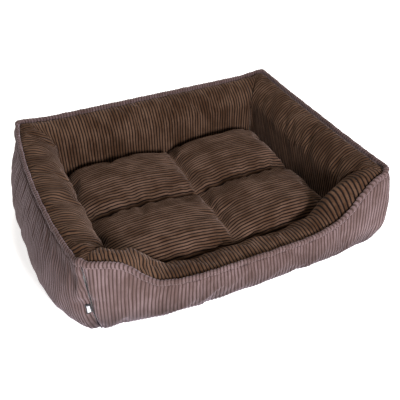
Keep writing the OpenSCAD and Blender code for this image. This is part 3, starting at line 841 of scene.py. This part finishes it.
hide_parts("cushion_top_panel")
print("cushion cover grid", points.shape[:2], "cloth", round(float(np.ptp(column_run)), 3), "by",
      round(float(np.ptp(row_run)), 3), "m")

# %% [markdown]
# Underneath, the cushion has a plain woven cover. It lies flat on the base and turns up at its
# edges to the same seam.

# %% The cushion's bottom cover
bottom_s = np.sin(np.pi / 2 * np.linspace(-1, 1, 71))
under_half = cover_half - 3.0 * MM
x, y = np.meshgrid(bottom_s * under_half[0], bottom_s * under_half[1])
points = cushion_bottom_point(x * cushion_half[0] / under_half[0], y * cushion_half[1] / under_half[1])
points[..., 0], points[..., 1] = x, y
points[..., 2] += 0.5 * MM + 0.6 * MM * (1 + uneven(x + 0.6 * y, 3.3))
points[..., 2] = np.minimum(points[..., 2], seam_z + SEAM_OVERLAP)
near_back = y > under_half[1] - BACK_BAND
zip_mouth = (np.abs(x) < zip_end) & near_back
points[..., 2] = np.where(zip_mouth, np.minimum(points[..., 2], seam_z - ZIP_MOUTH), points[..., 2])
behind_pull = (np.abs(x) < pull_end) & near_back
points[..., 1] = np.where(behind_pull, np.minimum(points[..., 1], set_back), points[..., 1])
points = round_corners(points, under_half, CUSHION_RADIUS, 2.3, CUSHION_FADE)
cushion_under = cloth_grid("cushion_bottom_cover", points[:, ::-1])
thicken(cushion_under, 1.2 * MM)
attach(cushion_under, "cushion")
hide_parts("cushion_bottom_panel")
print("cushion bottom cover faces", len(cushion_under.data.polygons))

# %% [markdown]
# The two covers are sewn together round the cushion in a narrow rolled welt, which stops a little
# short of the zip at both ends. Its path starts there and goes round the front to the other end.

# %% The cushion's welt
WELT = 2.5 * MM


def welt_path(step=5 * MM):
    half_x, half_y = cover_half - 1.0 * MM
    corners = [
        (-pull_end, half_y), (-half_x, half_y), (-half_x, -half_y), (half_x, -half_y), (half_x, half_y),
        (pull_end, half_y),
    ]
    path = []
    for (ax, ay), (bx, by) in zip(corners, corners[1:]):
        count = int(math.hypot(bx - ax, by - ay) / step)
        share = np.arange(count)[:, None] / count
        path.append(np.array([ax, ay]) + share * np.array([bx - ax, by - ay]))
    flat_path = np.concatenate(path + [np.array([corners[-1]])])
    points = np.concatenate([flat_path, np.full((len(flat_path), 1), seam_z)], 1)
    return round_corners(points, (half_x, half_y), CUSHION_RADIUS, 2.3, CUSHION_FADE)


path = welt_path()
turn = np.linspace(0, 2 * math.pi, 10, endpoint=False)[None, :]
ahead = np.gradient(path[:, :2], axis=0)
beside = np.stack([-ahead[:, 1], ahead[:, 0], 0 * ahead[:, 0]], -1)
beside /= np.maximum(np.linalg.norm(beside, axis=1, keepdims=True), 1e-12)
rings = path[:, None] + WELT * np.cos(turn)[..., None] * beside[:, None]
rings = rings + WELT * np.sin(turn)[..., None] * np.array([0, 0, 1.0])
run = np.concatenate([[0], np.cumsum(np.linalg.norm(np.diff(path, axis=0), axis=1))])
run = np.broadcast_to(run[:, None], rings.shape[:2])
welt = closed_tube("cushion_welt", rings, [("across", run), ("along", 0 * run)])
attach(welt, "cushion")
print("welt rings", len(path))

# %% [markdown]
# Stuffing is loose polyester fibre. It isn't meant to show while the bed is whole, but it's a
# real piece, so each bolster and each quilted quarter gets a lumpy closed form inside its cover.

# %% Stuffing of the walls and the cushion
STUFFING_GAP = 15 * MM
STUFFING_ENDS = 0.93


def lumps(a, b, seed):
    return 1.5 * MM * uneven(a, seed) * uneven(b * 0.8 + 0.2 * a, seed + 1.3)


def drawn_in(values, gap):
    """Draws one coordinate of each ring in by the gap at both ends of its range."""
    low, high = values.min(1, keepdims=True), values.max(1, keepdims=True)
    half = (high - low) / 2
    return (low + high) / 2 + (values - (low + high) / 2) * np.maximum(1 - gap / half, 0.3)


for side in (FRONT, RIGHT, BACK, LEFT):
    u = np.linspace(-STUFFING_ENDS, STUFFING_ENDS, 101)[:, None]
    rising, falling = np.linspace(0.06, 0.95, 22)[None, :], np.linspace(0.05, 0.97, 24)[None, :]
    outer = cover_point(side, "outer", *np.broadcast_arrays(u, rising))
    inner = cover_point(side, "inner", *np.broadcast_arrays(u, falling))
    rings = np.concatenate([outer, inner], 1)
    thick_axis = (1, 0, 1, 0)[side]
    round_it = np.arange(rings.shape[1])[None, :]
    gap = STUFFING_GAP + lumps(u * half_span(side), round_it * 0.02, side + 1.5)
    rings[..., thick_axis] = drawn_in(rings[..., thick_axis], gap)
    rings[..., 2] = np.maximum(drawn_in(rings[..., 2], gap), 4 * MM)
    stuffing = closed_tube(f"{SIDE_NAMES[side]}_bolster_stuffing", rings)
    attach(stuffing, "rim")
    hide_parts(f"{SIDE_NAMES[side]}_bolster_fill")

QUARTERS = {"front_left": (-1, -1), "front_right": (1, -1), "back_left": (-1, 1), "back_right": (1, 1)}
OVER_POINTS = 30
UNDER_GAP, TOP_GAP, LEAST_FILL = 5 * MM, 16 * MM, 6 * MM
for name, (sx, sy) in QUARTERS.items():
    px, py = np.linspace(0.05, 0.91, 48)[:, None], np.linspace(0.05, 0.91, OVER_POINTS)
    x = quilt_x + sx * px * (cover_half[0] - sx * quilt_x)
    py = np.concatenate([py, py[::-1]])[None, :]
    y = sy * py * cover_half[1]
    x, y = np.broadcast_arrays(x, y)
    over = cushion_cover_point(x, y)
    under = cushion_bottom_point(x, y)[..., 2] + UNDER_GAP
    top = np.maximum(over[..., 2] - TOP_GAP + lumps(x, y, 2.2), under + LEAST_FILL)
    is_top = np.arange(2 * OVER_POINTS)[None, :] < OVER_POINTS
    rings = np.stack([over[..., 0], over[..., 1], np.where(is_top, top, under)], -1)
    stuffing = closed_tube(f"cushion_stuffing_{name}", rings)
    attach(stuffing, "cushion")
    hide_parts(f"cushion_fill_{name}")
print("stuffing pieces made")

# %% [markdown]
# The base is three layers: an anti-slip cloth with rubber dots on the floor, a thin foam pad,
# and a plain lining that shows when the cushion is lifted out.

# %% The base
def rounded_slab(name, node, bevel, inset=0.0):
    low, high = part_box(node)
    bm = bmesh.new()
    size = high - low - Vector((2 * inset, 2 * inset, 0))
    place_it = Matrix.Translation((low + high) / 2) @ Matrix.Diagonal((*size, 1))
    bmesh.ops.create_cube(bm, size=1, matrix=place_it)
    bmesh.ops.bevel(
        bm, geom=bm.edges[:], offset=bevel, segments=3, profile=0.5, affect="EDGES", material=-1
    )
    long_edges = [e for e in bm.edges if e.calc_length() > 0.3]
    bmesh.ops.subdivide_edges(bm, edges=long_edges, cuts=24, use_grid_fill=True)
    piece = finish_mesh(bm, name)
    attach(piece, "rim")
    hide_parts(node)
    return piece


pad = rounded_slab("base_foam_pad", "base_pad", 5 * MM, 3 * MM)
lining = rounded_slab("base_lining_cloth", "base_lining", 0.4 * MM)

DOT_PITCH, DOT_RADIUS, DOT_HEIGHT = 18 * MM, 2.6 * MM, 0.7 * MM
low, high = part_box("underside_sheet")
across_s, along_s = np.meshgrid(np.linspace(-1, 1, 60), np.linspace(-1, 1, 48))
bowed = bows / 2
x = across_s * high.x + np.where(across_s > 0, bowed[RIGHT], -bowed[LEFT]) * across_s**2 * (1 - along_s**2)
y = along_s * high.y + np.where(along_s > 0, bowed[BACK], -bowed[FRONT]) * along_s**2 * (1 - across_s**2)
underside = cloth_grid("underside_cloth", np.stack([x, y, np.full(x.shape, DOT_HEIGHT)], -1)[:, ::-1])
thicken(underside, 1.1 * MM)
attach(underside, "rim")
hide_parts("underside_sheet")


def add_dot(bm, matrix):
    bmesh.ops.create_cone(
        bm, cap_ends=True, segments=8, radius1=DOT_RADIUS * 0.7, radius2=DOT_RADIUS,
        depth=DOT_HEIGHT, matrix=matrix,
    )


places = []
row_gap, margin = DOT_PITCH * 0.866, 15 * MM
for row, dot_y in enumerate(np.arange(low.y + margin, high.y - margin, row_gap)):
    for dot_x in np.arange(low.x + margin + (row % 2) * DOT_PITCH / 2, high.x - margin, DOT_PITCH):
        places.append(Matrix.Translation((dot_x, dot_y, DOT_HEIGHT / 2 + 0.05 * MM)))
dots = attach(many_small("anti_slip_dots", places, add_dot), "rim")
print("anti-slip dots", len(places))

# %% [markdown]
# The label is a short folded ribbon caught in the corner seam: one strip that runs out from
# the seam, round the fold, and back under itself. It's left blank.

# %% The side label
label_low, label_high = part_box("side_label")
LABEL_WIDTH = 16 * MM
LABEL_OVER, LABEL_UNDER = 3.2 * MM, 1.9 * MM


def height_share(side, u, z):
    """t at which the outer face has the height z."""
    t = np.linspace(0, 1, 201)
    heights = on_curve(outer_face(side, np.array(u)), t)[1]
    return np.interp(z, heights, t)


LABEL_ROWS, LABEL_POINTS = 15, 12
label_z = np.linspace(label_low.z + 1 * MM, label_high.z - 1 * MM, LABEL_ROWS)
reach = np.linspace(0.02, 1, LABEL_POINTS)
reach = np.concatenate([reach, reach[::-1]])
is_over = np.arange(2 * LABEL_POINTS) < LABEL_POINTS
u = np.broadcast_to(0.996 - reach * LABEL_WIDTH / half_depth, (LABEL_ROWS, 2 * LABEL_POINTS))
t = np.array([[height_share(LEFT, a, z) for a in u[0]] for z in label_z])
seat = np.where(is_over, LABEL_OVER, LABEL_UNDER) * smooth(0.25 + reach * 2.5)
points = cover_point(LEFT, "outer", u, t) + seat[None, :, None] * cover_normal(LEFT, "outer", u, t)
rise = np.broadcast_to((label_z - label_z[0])[:, None], u.shape)
run = np.broadcast_to(reach * LABEL_WIDTH, u.shape)
label = cloth_grid("side_label_ribbon", points[:, ::-1])
add_attribute(label, "across", run[:, ::-1])
add_attribute(label, "along", rise[:, ::-1])
thicken(label, 0.45 * MM)
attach(label, "rim")
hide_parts("side_label")
print("label faces", len(label.data.polygons))

# %% [markdown]
# A coil zip is two spiral coils of nylon sewn to two woven tapes. One tooth is a small flat
# ring. It is repeated along the tape with an Array modifier, which keeps the tooth easy to edit.

# %% Zips
TOOTH_PITCH, TOOTH_WIRE = 1.9 * MM, 0.42 * MM


def zip_coil(name, node, body):
    low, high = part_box(node)
    middle, radius = (low + high) / 2, (high.z - low.z) / 2
    bm = bmesh.new()
    bmesh.ops.create_circle(
        bm, segments=5, radius=TOOTH_WIRE,
        matrix=Matrix.Translation((0, radius - TOOTH_WIRE, 0)) @ Matrix.Rotation(math.pi / 2, 4, "Y"),
    )
    bmesh.ops.spin(
        bm, geom=bm.edges[:] + bm.verts[:], cent=(0, 0, 0), axis=(1, 0, 0), angle=2 * math.pi,
        steps=8, use_merge=True, dvec=(0, 0, 0),
    )
    bmesh.ops.remove_doubles(bm, verts=bm.verts, dist=1e-6)
    bmesh.ops.recalc_face_normals(bm, faces=bm.faces)
    for vertex in bm.verts:
        vertex.co.x += vertex.co.y * 0.35
        vertex.co.z *= 0.95
    start = Vector((low.x + TOOTH_PITCH / 2, middle.y, middle.z))
    bmesh.ops.translate(bm, verts=bm.verts, vec=start)
    coil = finish_mesh(bm, name)
    row = coil.modifiers.new("teeth", "ARRAY")
    row.count = int((high.x - low.x) / TOOTH_PITCH)
    row.use_relative_offset = False
    row.use_constant_offset = True
    row.constant_offset_displace = (TOOTH_PITCH, 0, 0)
    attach(coil, body)
    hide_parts(node)
    print(name, "teeth", row.count)
    return coil


def zip_tape(name, node, body):
    low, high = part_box(node)
    long_x, long_z = np.linspace(low.x, high.x, 120), np.linspace(low.z, high.z, 9)
    x, z = np.meshgrid(long_x, long_z)
    wave = 0.25 * MM * uneven(x, 9.1) * (z - low.z) / (high.z - low.z)
    tape = cloth_grid(name, np.stack([x, (low.y + high.y) / 2 + 0.45 * MM + wave, z], -1)[:, ::-1])
    add_attribute(tape, "across", z)
    add_attribute(tape, "along", x)
    thicken(tape, 0.8 * MM)
    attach(tape, body)
    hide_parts(node)
    return tape


coils, tapes = [], []
for zip_name, body in (("rim_zip", "rim"), ("cushion_zip", "cushion")):
    for level in ("upper", "lower"):
        coils.append(zip_coil(f"{zip_name}_{level}_teeth", f"{zip_name}_{level}_coil", body))
        tapes.append(zip_tape(f"{zip_name}_{level}_ribbon", f"{zip_name}_{level}_tape", body))

# %% [markdown]
# Cloth gets its colour from node materials. The pattern reads two attributes that every cover
# carries: the distance across the ribs and along them, in metres. A node group makes the rib
# masks, so every corduroy uses the same weave with its own colours. The three corduroys are lit
# and shaded copies of one cloth: the outer one is lighter and mauve as painted light, and the
# inner and cushion ones are darker and browner as painted shade.

# %% Node helpers
def new_group(name, inputs, outputs):
    group = bpy.data.node_groups.new(name, "ShaderNodeTree")
    for title, kind, default in inputs:
        item = group.interface.new_socket(title, in_out="INPUT", socket_type=kind)
        if default is not None:
            item.default_value = default
    for title, kind in outputs:
        group.interface.new_socket(title, in_out="OUTPUT", socket_type=kind)
    return group, group.nodes.new("NodeGroupInput"), group.nodes.new("NodeGroupOutput")


def node(tree, kind, inputs=(), **settings):
    made = tree.nodes.new(kind)
    for key, value in settings.items():
        setattr(made, key, value)
    for key, value in dict(inputs).items():
        if isinstance(value, bpy.types.NodeSocket):
            tree.links.new(value, made.inputs[key])
        else:
            made.inputs[key].default_value = value
    return made


def maths(tree, operation, *values, clamp=False):
    made = node(tree, "ShaderNodeMath", dict(enumerate(values)), operation=operation)
    made.use_clamp = clamp
    return made.outputs[0]


def mixed(tree, share, a, b, blend="MIX"):
    made = node(tree, "ShaderNodeMix", data_type="RGBA", blend_type=blend)
    for key, value in ((0, share), (6, a), (7, b)):
        if isinstance(value, bpy.types.NodeSocket):
            tree.links.new(value, made.inputs[key])
        else:
            made.inputs[key].default_value = value
    return made.outputs[2]


def noise(tree, vector, scale, detail=2.0, rough=0.5):
    inputs = {"Vector": vector, "Scale": scale, "Detail": detail, "Roughness": rough}
    return node(tree, "ShaderNodeTexNoise", inputs).outputs["Fac"]


def ranged(tree, value, low, high, to_low=0.0, to_high=1.0):
    made = node(tree, "ShaderNodeMapRange", {0: value, 1: low, 2: high, 3: to_low, 4: to_high})
    made.interpolation_type = "SMOOTHSTEP"
    return made.outputs[0]


# %% [markdown]
# The pile group: a crest mask that is 1 on top of a rib and 0 in its groove, a nap mask of
# brushed and crushed patches, and a fine height for the bump. Corduroy pile lies in short
# tufts, so the fine noise is stretched along the rib.

# %% Group: corduroy pile
pile, pile_in, pile_out = new_group(
    "corduroy_pile",
    [("Across", "NodeSocketFloat", 0.0), ("Along", "NodeSocketFloat", 0.0),
     ("Place", "NodeSocketVector", None), ("Pitch", "NodeSocketFloat", rib_pitch)],
    [("Crest", "NodeSocketFloat"), ("Nap", "NodeSocketFloat"), ("Height", "NodeSocketFloat")],
)
turns = maths(pile, "DIVIDE", pile_in.outputs["Across"], pile_in.outputs["Pitch"])
wave = maths(pile, "COSINE", maths(pile, "MULTIPLY", turns, 2 * math.pi))
crest = maths(pile, "MULTIPLY_ADD", wave, -0.5, 0.5)
fringe = noise(pile, node(pile, "ShaderNodeCombineXYZ", {
    0: pile_in.outputs["Across"],
    1: maths(pile, "MULTIPLY", pile_in.outputs["Along"], 0.4)}).outputs[0], 900.0, 2.0, 0.6)
soft_crest = maths(pile, "ADD", crest, maths(pile, "MULTIPLY_ADD", fringe, 0.34, -0.17), clamp=True)
pile.links.new(soft_crest, pile_out.inputs["Crest"])
patches = noise(pile, pile_in.outputs["Place"], 11.0, 4.0, 0.62)
streaks = noise(pile, node(pile, "ShaderNodeCombineXYZ", {
    0: maths(pile, "MULTIPLY", pile_in.outputs["Across"], 90.0),
    1: maths(pile, "MULTIPLY", pile_in.outputs["Along"], 9.0)}).outputs[0], 1.0, 2.0, 0.5)
nap = maths(pile, "ADD", maths(pile, "MULTIPLY", patches, 0.6), maths(pile, "MULTIPLY", streaks, 0.4))
pile.links.new(ranged(pile, nap, 0.36, 0.66), pile_out.inputs["Nap"])
pile.links.new(maths(pile, "MULTIPLY", fringe, soft_crest), pile_out.inputs["Height"])


# %% Corduroy materials
def attribute(tree, name):
    return node(tree, "ShaderNodeAttribute", attribute_name=name).outputs["Fac"]


def shader(name, roughness=0.9, sheen=0.0, sheen_tint=(1, 1, 1, 1), sheen_roughness=0.4, specular=0.3):
    material = bpy.data.materials.new(name)
    material.use_nodes = True
    tree = material.node_tree
    bsdf = tree.nodes["Principled BSDF"]
    bsdf.inputs["Roughness"].default_value = roughness
    bsdf.inputs["Specular IOR Level"].default_value = specular
    bsdf.inputs["Sheen Weight"].default_value = sheen
    bsdf.inputs["Sheen Tint"].default_value = sheen_tint
    bsdf.inputs["Sheen Roughness"].default_value = sheen_roughness
    return material, tree, bsdf


def bump(tree, bsdf, height, strength, distance):
    made = node(tree, "ShaderNodeBump", {"Height": height, "Strength": strength, "Distance": distance})
    tree.links.new(made.outputs[0], bsdf.inputs["Normal"])


def corduroy(name, groove, crest_dark, crest_light, sheen, sheen_tint, floor_shade_height=0.0):
    material, tree, bsdf = shader(name, 0.88, sheen, sheen_tint, 0.36, 0.15)
    where = node(tree, "ShaderNodeTexCoord").outputs["Object"]
    across, along = attribute(tree, "across"), attribute(tree, "along")
    group = node(tree, "ShaderNodeGroup", node_tree=pile)
    for key, value in (("Across", across), ("Along", along), ("Place", where)):
        tree.links.new(value, group.inputs[key])
    group.inputs["Pitch"].default_value = rib_pitch
    brushed = mixed(tree, group.outputs["Nap"], crest_dark, crest_light)
    # The grooves take the groove colour. It is partly the bare ground weave and partly painted shade: it is
    # made far darker than the crests, near black on the inner covers and cushion, on top of the shade that
    # the modelled ribs cast.
    share = ranged(tree, group.outputs["Crest"], 0.06, 0.62)
    colour = mixed(tree, share, groove, brushed)
    # Painted shade: the colour is darkened towards the floor, down to 0.38 of itself at the bottom of the
    # walls, standing in for the shade that falls low on them.
    if floor_shade_height:
        up = node(tree, "ShaderNodeSeparateXYZ", {0: where}).outputs[2]
        unshaded_share = ranged(tree, up, 0.0, floor_shade_height, 0.38, 1.0)
        shade = node(tree, "ShaderNodeCombineColor", {0: unshaded_share, 1: unshaded_share, 2: unshaded_share}).outputs[0]
        colour = mixed(tree, 1.0, colour, shade, "MULTIPLY")
    tree.links.new(colour, bsdf.inputs["Base Color"])
    tree.links.new(ranged(tree, group.outputs["Nap"], 0.0, 1.0, 0.95, 0.78), bsdf.inputs["Roughness"])
    bump(tree, bsdf, group.outputs["Height"], 0.55, 0.0008)
    return material


# Painted light and shade: one cloth in three copies. The outer covers and flange get a lighter, mauve copy
# with more sheen, and the inner covers and cushion get darker, browner copies.
mauve, dusty = (0.95, 0.80, 0.90, 1), (0.95, 0.72, 0.62, 1)
corduroy_lit_outer = corduroy(
    "corduroy outer", groove=(0.044, 0.026, 0.021, 1), crest_dark=(0.078, 0.049, 0.043, 1),
    crest_light=(0.134, 0.092, 0.090, 1), sheen=0.42, sheen_tint=mauve, floor_shade_height=110 * MM,
)
corduroy_shaded_inner = corduroy(
    "corduroy inner", groove=(0.004, 0.0015, 0.0007, 1), crest_dark=(0.042, 0.019, 0.008, 1),
    crest_light=(0.104, 0.058, 0.034, 1), sheen=0.20, sheen_tint=dusty,
)
corduroy_shaded_cushion = corduroy(
    "corduroy cushion", groove=(0.004, 0.0015, 0.0007, 1), crest_dark=(0.046, 0.022, 0.010, 1),
    crest_light=(0.118, 0.068, 0.044, 1), sheen=0.24, sheen_tint=dusty,
)
print("corduroy materials made")


# %% [markdown]
# The other finishes are plainer: woven cloths share a weave group, fibre is fluffy and white,
# rubber dots are a dark grey, and the zip's metal has a dark, mottled plating.

# %% Group: plain weave
weave, weave_in, weave_out = new_group(
    "plain_weave", [("Place", "NodeSocketVector", None), ("Threads", "NodeSocketFloat", 1200.0)],
    [("Thread", "NodeSocketFloat"), ("Fade", "NodeSocketFloat")],
)
split = node(weave, "ShaderNodeSeparateXYZ", {0: weave_in.outputs["Place"]})
warp = maths(weave, "SINE", maths(weave, "MULTIPLY", split.outputs[0], weave_in.outputs["Threads"]))
weft_place = maths(weave, "ADD", split.outputs[1], split.outputs[2])
weft = maths(weave, "SINE", maths(weave, "MULTIPLY", weft_place, weave_in.outputs["Threads"]))
crossing = maths(weave, "MULTIPLY_ADD", maths(weave, "MULTIPLY", warp, weft), 0.5, 0.5)
weave.links.new(crossing, weave_out.inputs["Thread"])
weave.links.new(noise(weave, weave_in.outputs["Place"], 14.0, 3.0), weave_out.inputs["Fade"])


# %% Plain cloths, fibre, rubber, thread and metal
def woven(name, dark, light, threads=1500.0, roughness=0.85, strength=0.4):
    material, tree, bsdf = shader(name, roughness, 0.15, (1, 1, 1, 1), 0.5, 0.2)
    where = node(tree, "ShaderNodeTexCoord").outputs["Object"]
    group = node(tree, "ShaderNodeGroup", node_tree=weave)
    tree.links.new(where, group.inputs["Place"])
    group.inputs["Threads"].default_value = threads
    faded = maths(tree, "MULTIPLY", group.outputs["Fade"], 0.5)
    share = maths(tree, "MULTIPLY_ADD", group.outputs["Thread"], 0.5, faded)
    tree.links.new(mixed(tree, share, dark, light), bsdf.inputs["Base Color"])
    bump(tree, bsdf, group.outputs["Thread"], strength, 0.0003)
    return material


def mottled(name, dark, light, scale, roughness, metallic=0.0, strength=0.3, distance=0.0005):
    material, tree, bsdf = shader(name, roughness, 0.0, (1, 1, 1, 1), 0.5, 0.5)
    bsdf.inputs["Metallic"].default_value = metallic
    where = node(tree, "ShaderNodeTexCoord").outputs["Object"]
    grain = noise(tree, where, scale, 4.0, 0.6)
    tree.links.new(mixed(tree, ranged(tree, grain, 0.35, 0.65), dark, light), bsdf.inputs["Base Color"])
    wear = ranged(tree, grain, 0.3, 0.7, roughness - 0.08, roughness + 0.08)
    tree.links.new(wear, bsdf.inputs["Roughness"])
    bump(tree, bsdf, grain, strength, distance)
    return material


def label_material():
    material, tree, bsdf = shader("label ribbon", 0.6, 0.1, (1, 1, 1, 1), 0.4, 0.3)
    across, along = attribute(tree, "across"), attribute(tree, "along")
    height = float(np.ptp(label_z))
    edges = (
        (across, 0.004, 0.0046), (across, 0.0132, 0.0126),
        (along, 0.003, 0.0036), (along, height - 0.006, height - 0.0066),
    )
    panel = 1.0
    for distance, outside, inside in edges:
        panel = maths(tree, "MULTIPLY", panel, ranged(tree, distance, outside, inside))
    colour = mixed(tree, panel, (0.018, 0.018, 0.020, 1), (0.52, 0.52, 0.52, 1))
    tree.links.new(colour, bsdf.inputs["Base Color"])
    where = node(tree, "ShaderNodeTexCoord").outputs["Object"]
    bump(tree, bsdf, noise(tree, where, 2500.0), 0.2, 0.0002)
    return material


lining_cloth = woven("lining cloth", (0.030, 0.025, 0.024, 1), (0.060, 0.051, 0.048, 1))
under_cloth = woven("anti-slip cloth", (0.012, 0.011, 0.011, 1), (0.028, 0.026, 0.026, 1))
tape_cloth = woven("zip tape", (0.022, 0.014, 0.011, 1), (0.050, 0.034, 0.028, 1), 3500.0)
fibre = mottled("polyester fibre", (0.68, 0.68, 0.66, 1), (0.86, 0.86, 0.84, 1), 90.0, 0.9, 0.0, 0.8, 0.002)
rubber = mottled("rubber dots", (0.030, 0.030, 0.032, 1), (0.055, 0.055, 0.058, 1), 400.0, 0.55)
nylon = mottled("zip nylon", (0.020, 0.013, 0.010, 1), (0.038, 0.026, 0.021, 1), 600.0, 0.42)
thread = mottled("stitching thread", (0.115, 0.078, 0.070, 1), (0.190, 0.140, 0.128, 1), 900.0, 0.7)
metal = mottled(
    "zip metal", (0.035, 0.032, 0.030, 1), (0.115, 0.106, 0.100, 1), 260.0, 0.36, 1.0, 0.15, 0.0002,
)
ribbon = label_material()


def paint(piece, material):
    piece.data.materials.clear()
    piece.data.materials.append(material)


for (_, face), piece in covers.items():
    if face == "inner":
        paint(piece, corduroy_shaded_inner)
    else:
        paint(piece, corduroy_lit_outer)
paint(flange, corduroy_lit_outer)
paint(topstitch, thread)
paint(cushion_cover, corduroy_shaded_cushion)
paint(welt, corduroy_shaded_cushion)
paint(cushion_under, lining_cloth)
paint(lining, lining_cloth)
paint(pad, fibre)
paint(underside, under_cloth)
paint(dots, rubber)
paint(label, ribbon)
for piece in coils:
    paint(piece, nylon)
for piece in tapes:
    paint(piece, tape_cloth)
for piece in list(bpy.data.objects):
    if "stuffing" in piece.name and piece.type == "MESH":
        paint(piece, fibre)
for name, piece in frame["nodes"].items():
    if not piece.hide_render:
        paint(piece, metal)
        print("CAD node kept", name)

# %% [markdown]
# The light is a bright studio: a dim warm world, a cooler key from low in front, which leaves
# the insides of the walls darker, and a weak light from above and behind. The floor is white and
# glows a little, so that it stays white.

# %% Floor, light and camera
bm = bmesh.new()
bmesh.ops.create_grid(bm, x_segments=1, y_segments=1, size=20)
floor = finish_mesh(bm, "floor")
floor_material, tree, bsdf = shader("floor paper", 0.9, specular=0.1)
bsdf.inputs["Base Color"].default_value = (0.90, 0.90, 0.90, 1)
bsdf.inputs["Emission Color"].default_value = (1, 1, 1, 1)
bsdf.inputs["Emission Strength"].default_value = 0.70
floor.data.materials.append(floor_material)

world = bpy.data.worlds.new("studio")
bpy.context.scene.world = world
world.use_nodes = True
world.node_tree.nodes["Background"].inputs["Color"].default_value = (1.0, 0.91, 0.82, 1)
world.node_tree.nodes["Background"].inputs["Strength"].default_value = 0.31


def area_light(name, place_at, aim, size, power, colour):
    data = bpy.data.lights.new(name, "AREA")
    data.shape = "SQUARE"
    data.size = size
    data.energy = power
    data.color = colour
    lamp = bpy.data.objects.new(name, data)
    bpy.context.scene.collection.objects.link(lamp)
    lamp.location = place_at
    lamp.rotation_euler = (Vector(aim) - Vector(place_at)).to_track_quat("-Z", "Y").to_euler()
    return lamp


area_light("key", (0.05, -2.8, 1.15), (0, 0, 0.12), 0.7, 135, (0.95, 0.93, 1.0))
area_light("top", (0.3, 1.2, 2.4), (0, 0.1, 0), 1.0, 40, (1.0, 0.97, 0.94))

camera_data = bpy.data.cameras.new("camera")
camera_data.lens, camera_data.sensor_width = 51.95, 36
camera = bpy.data.objects.new("camera", camera_data)
bpy.context.scene.collection.objects.link(camera)
camera.location = (-0.618, -1.375, 1.229)
look = Vector((0.057, 0.064, 0.0)) - camera.location
camera.rotation_euler = look.to_track_quat("-Z", "Y").to_euler()
bpy.context.scene.camera = camera
bpy.context.scene.view_settings.view_transform = "Standard"
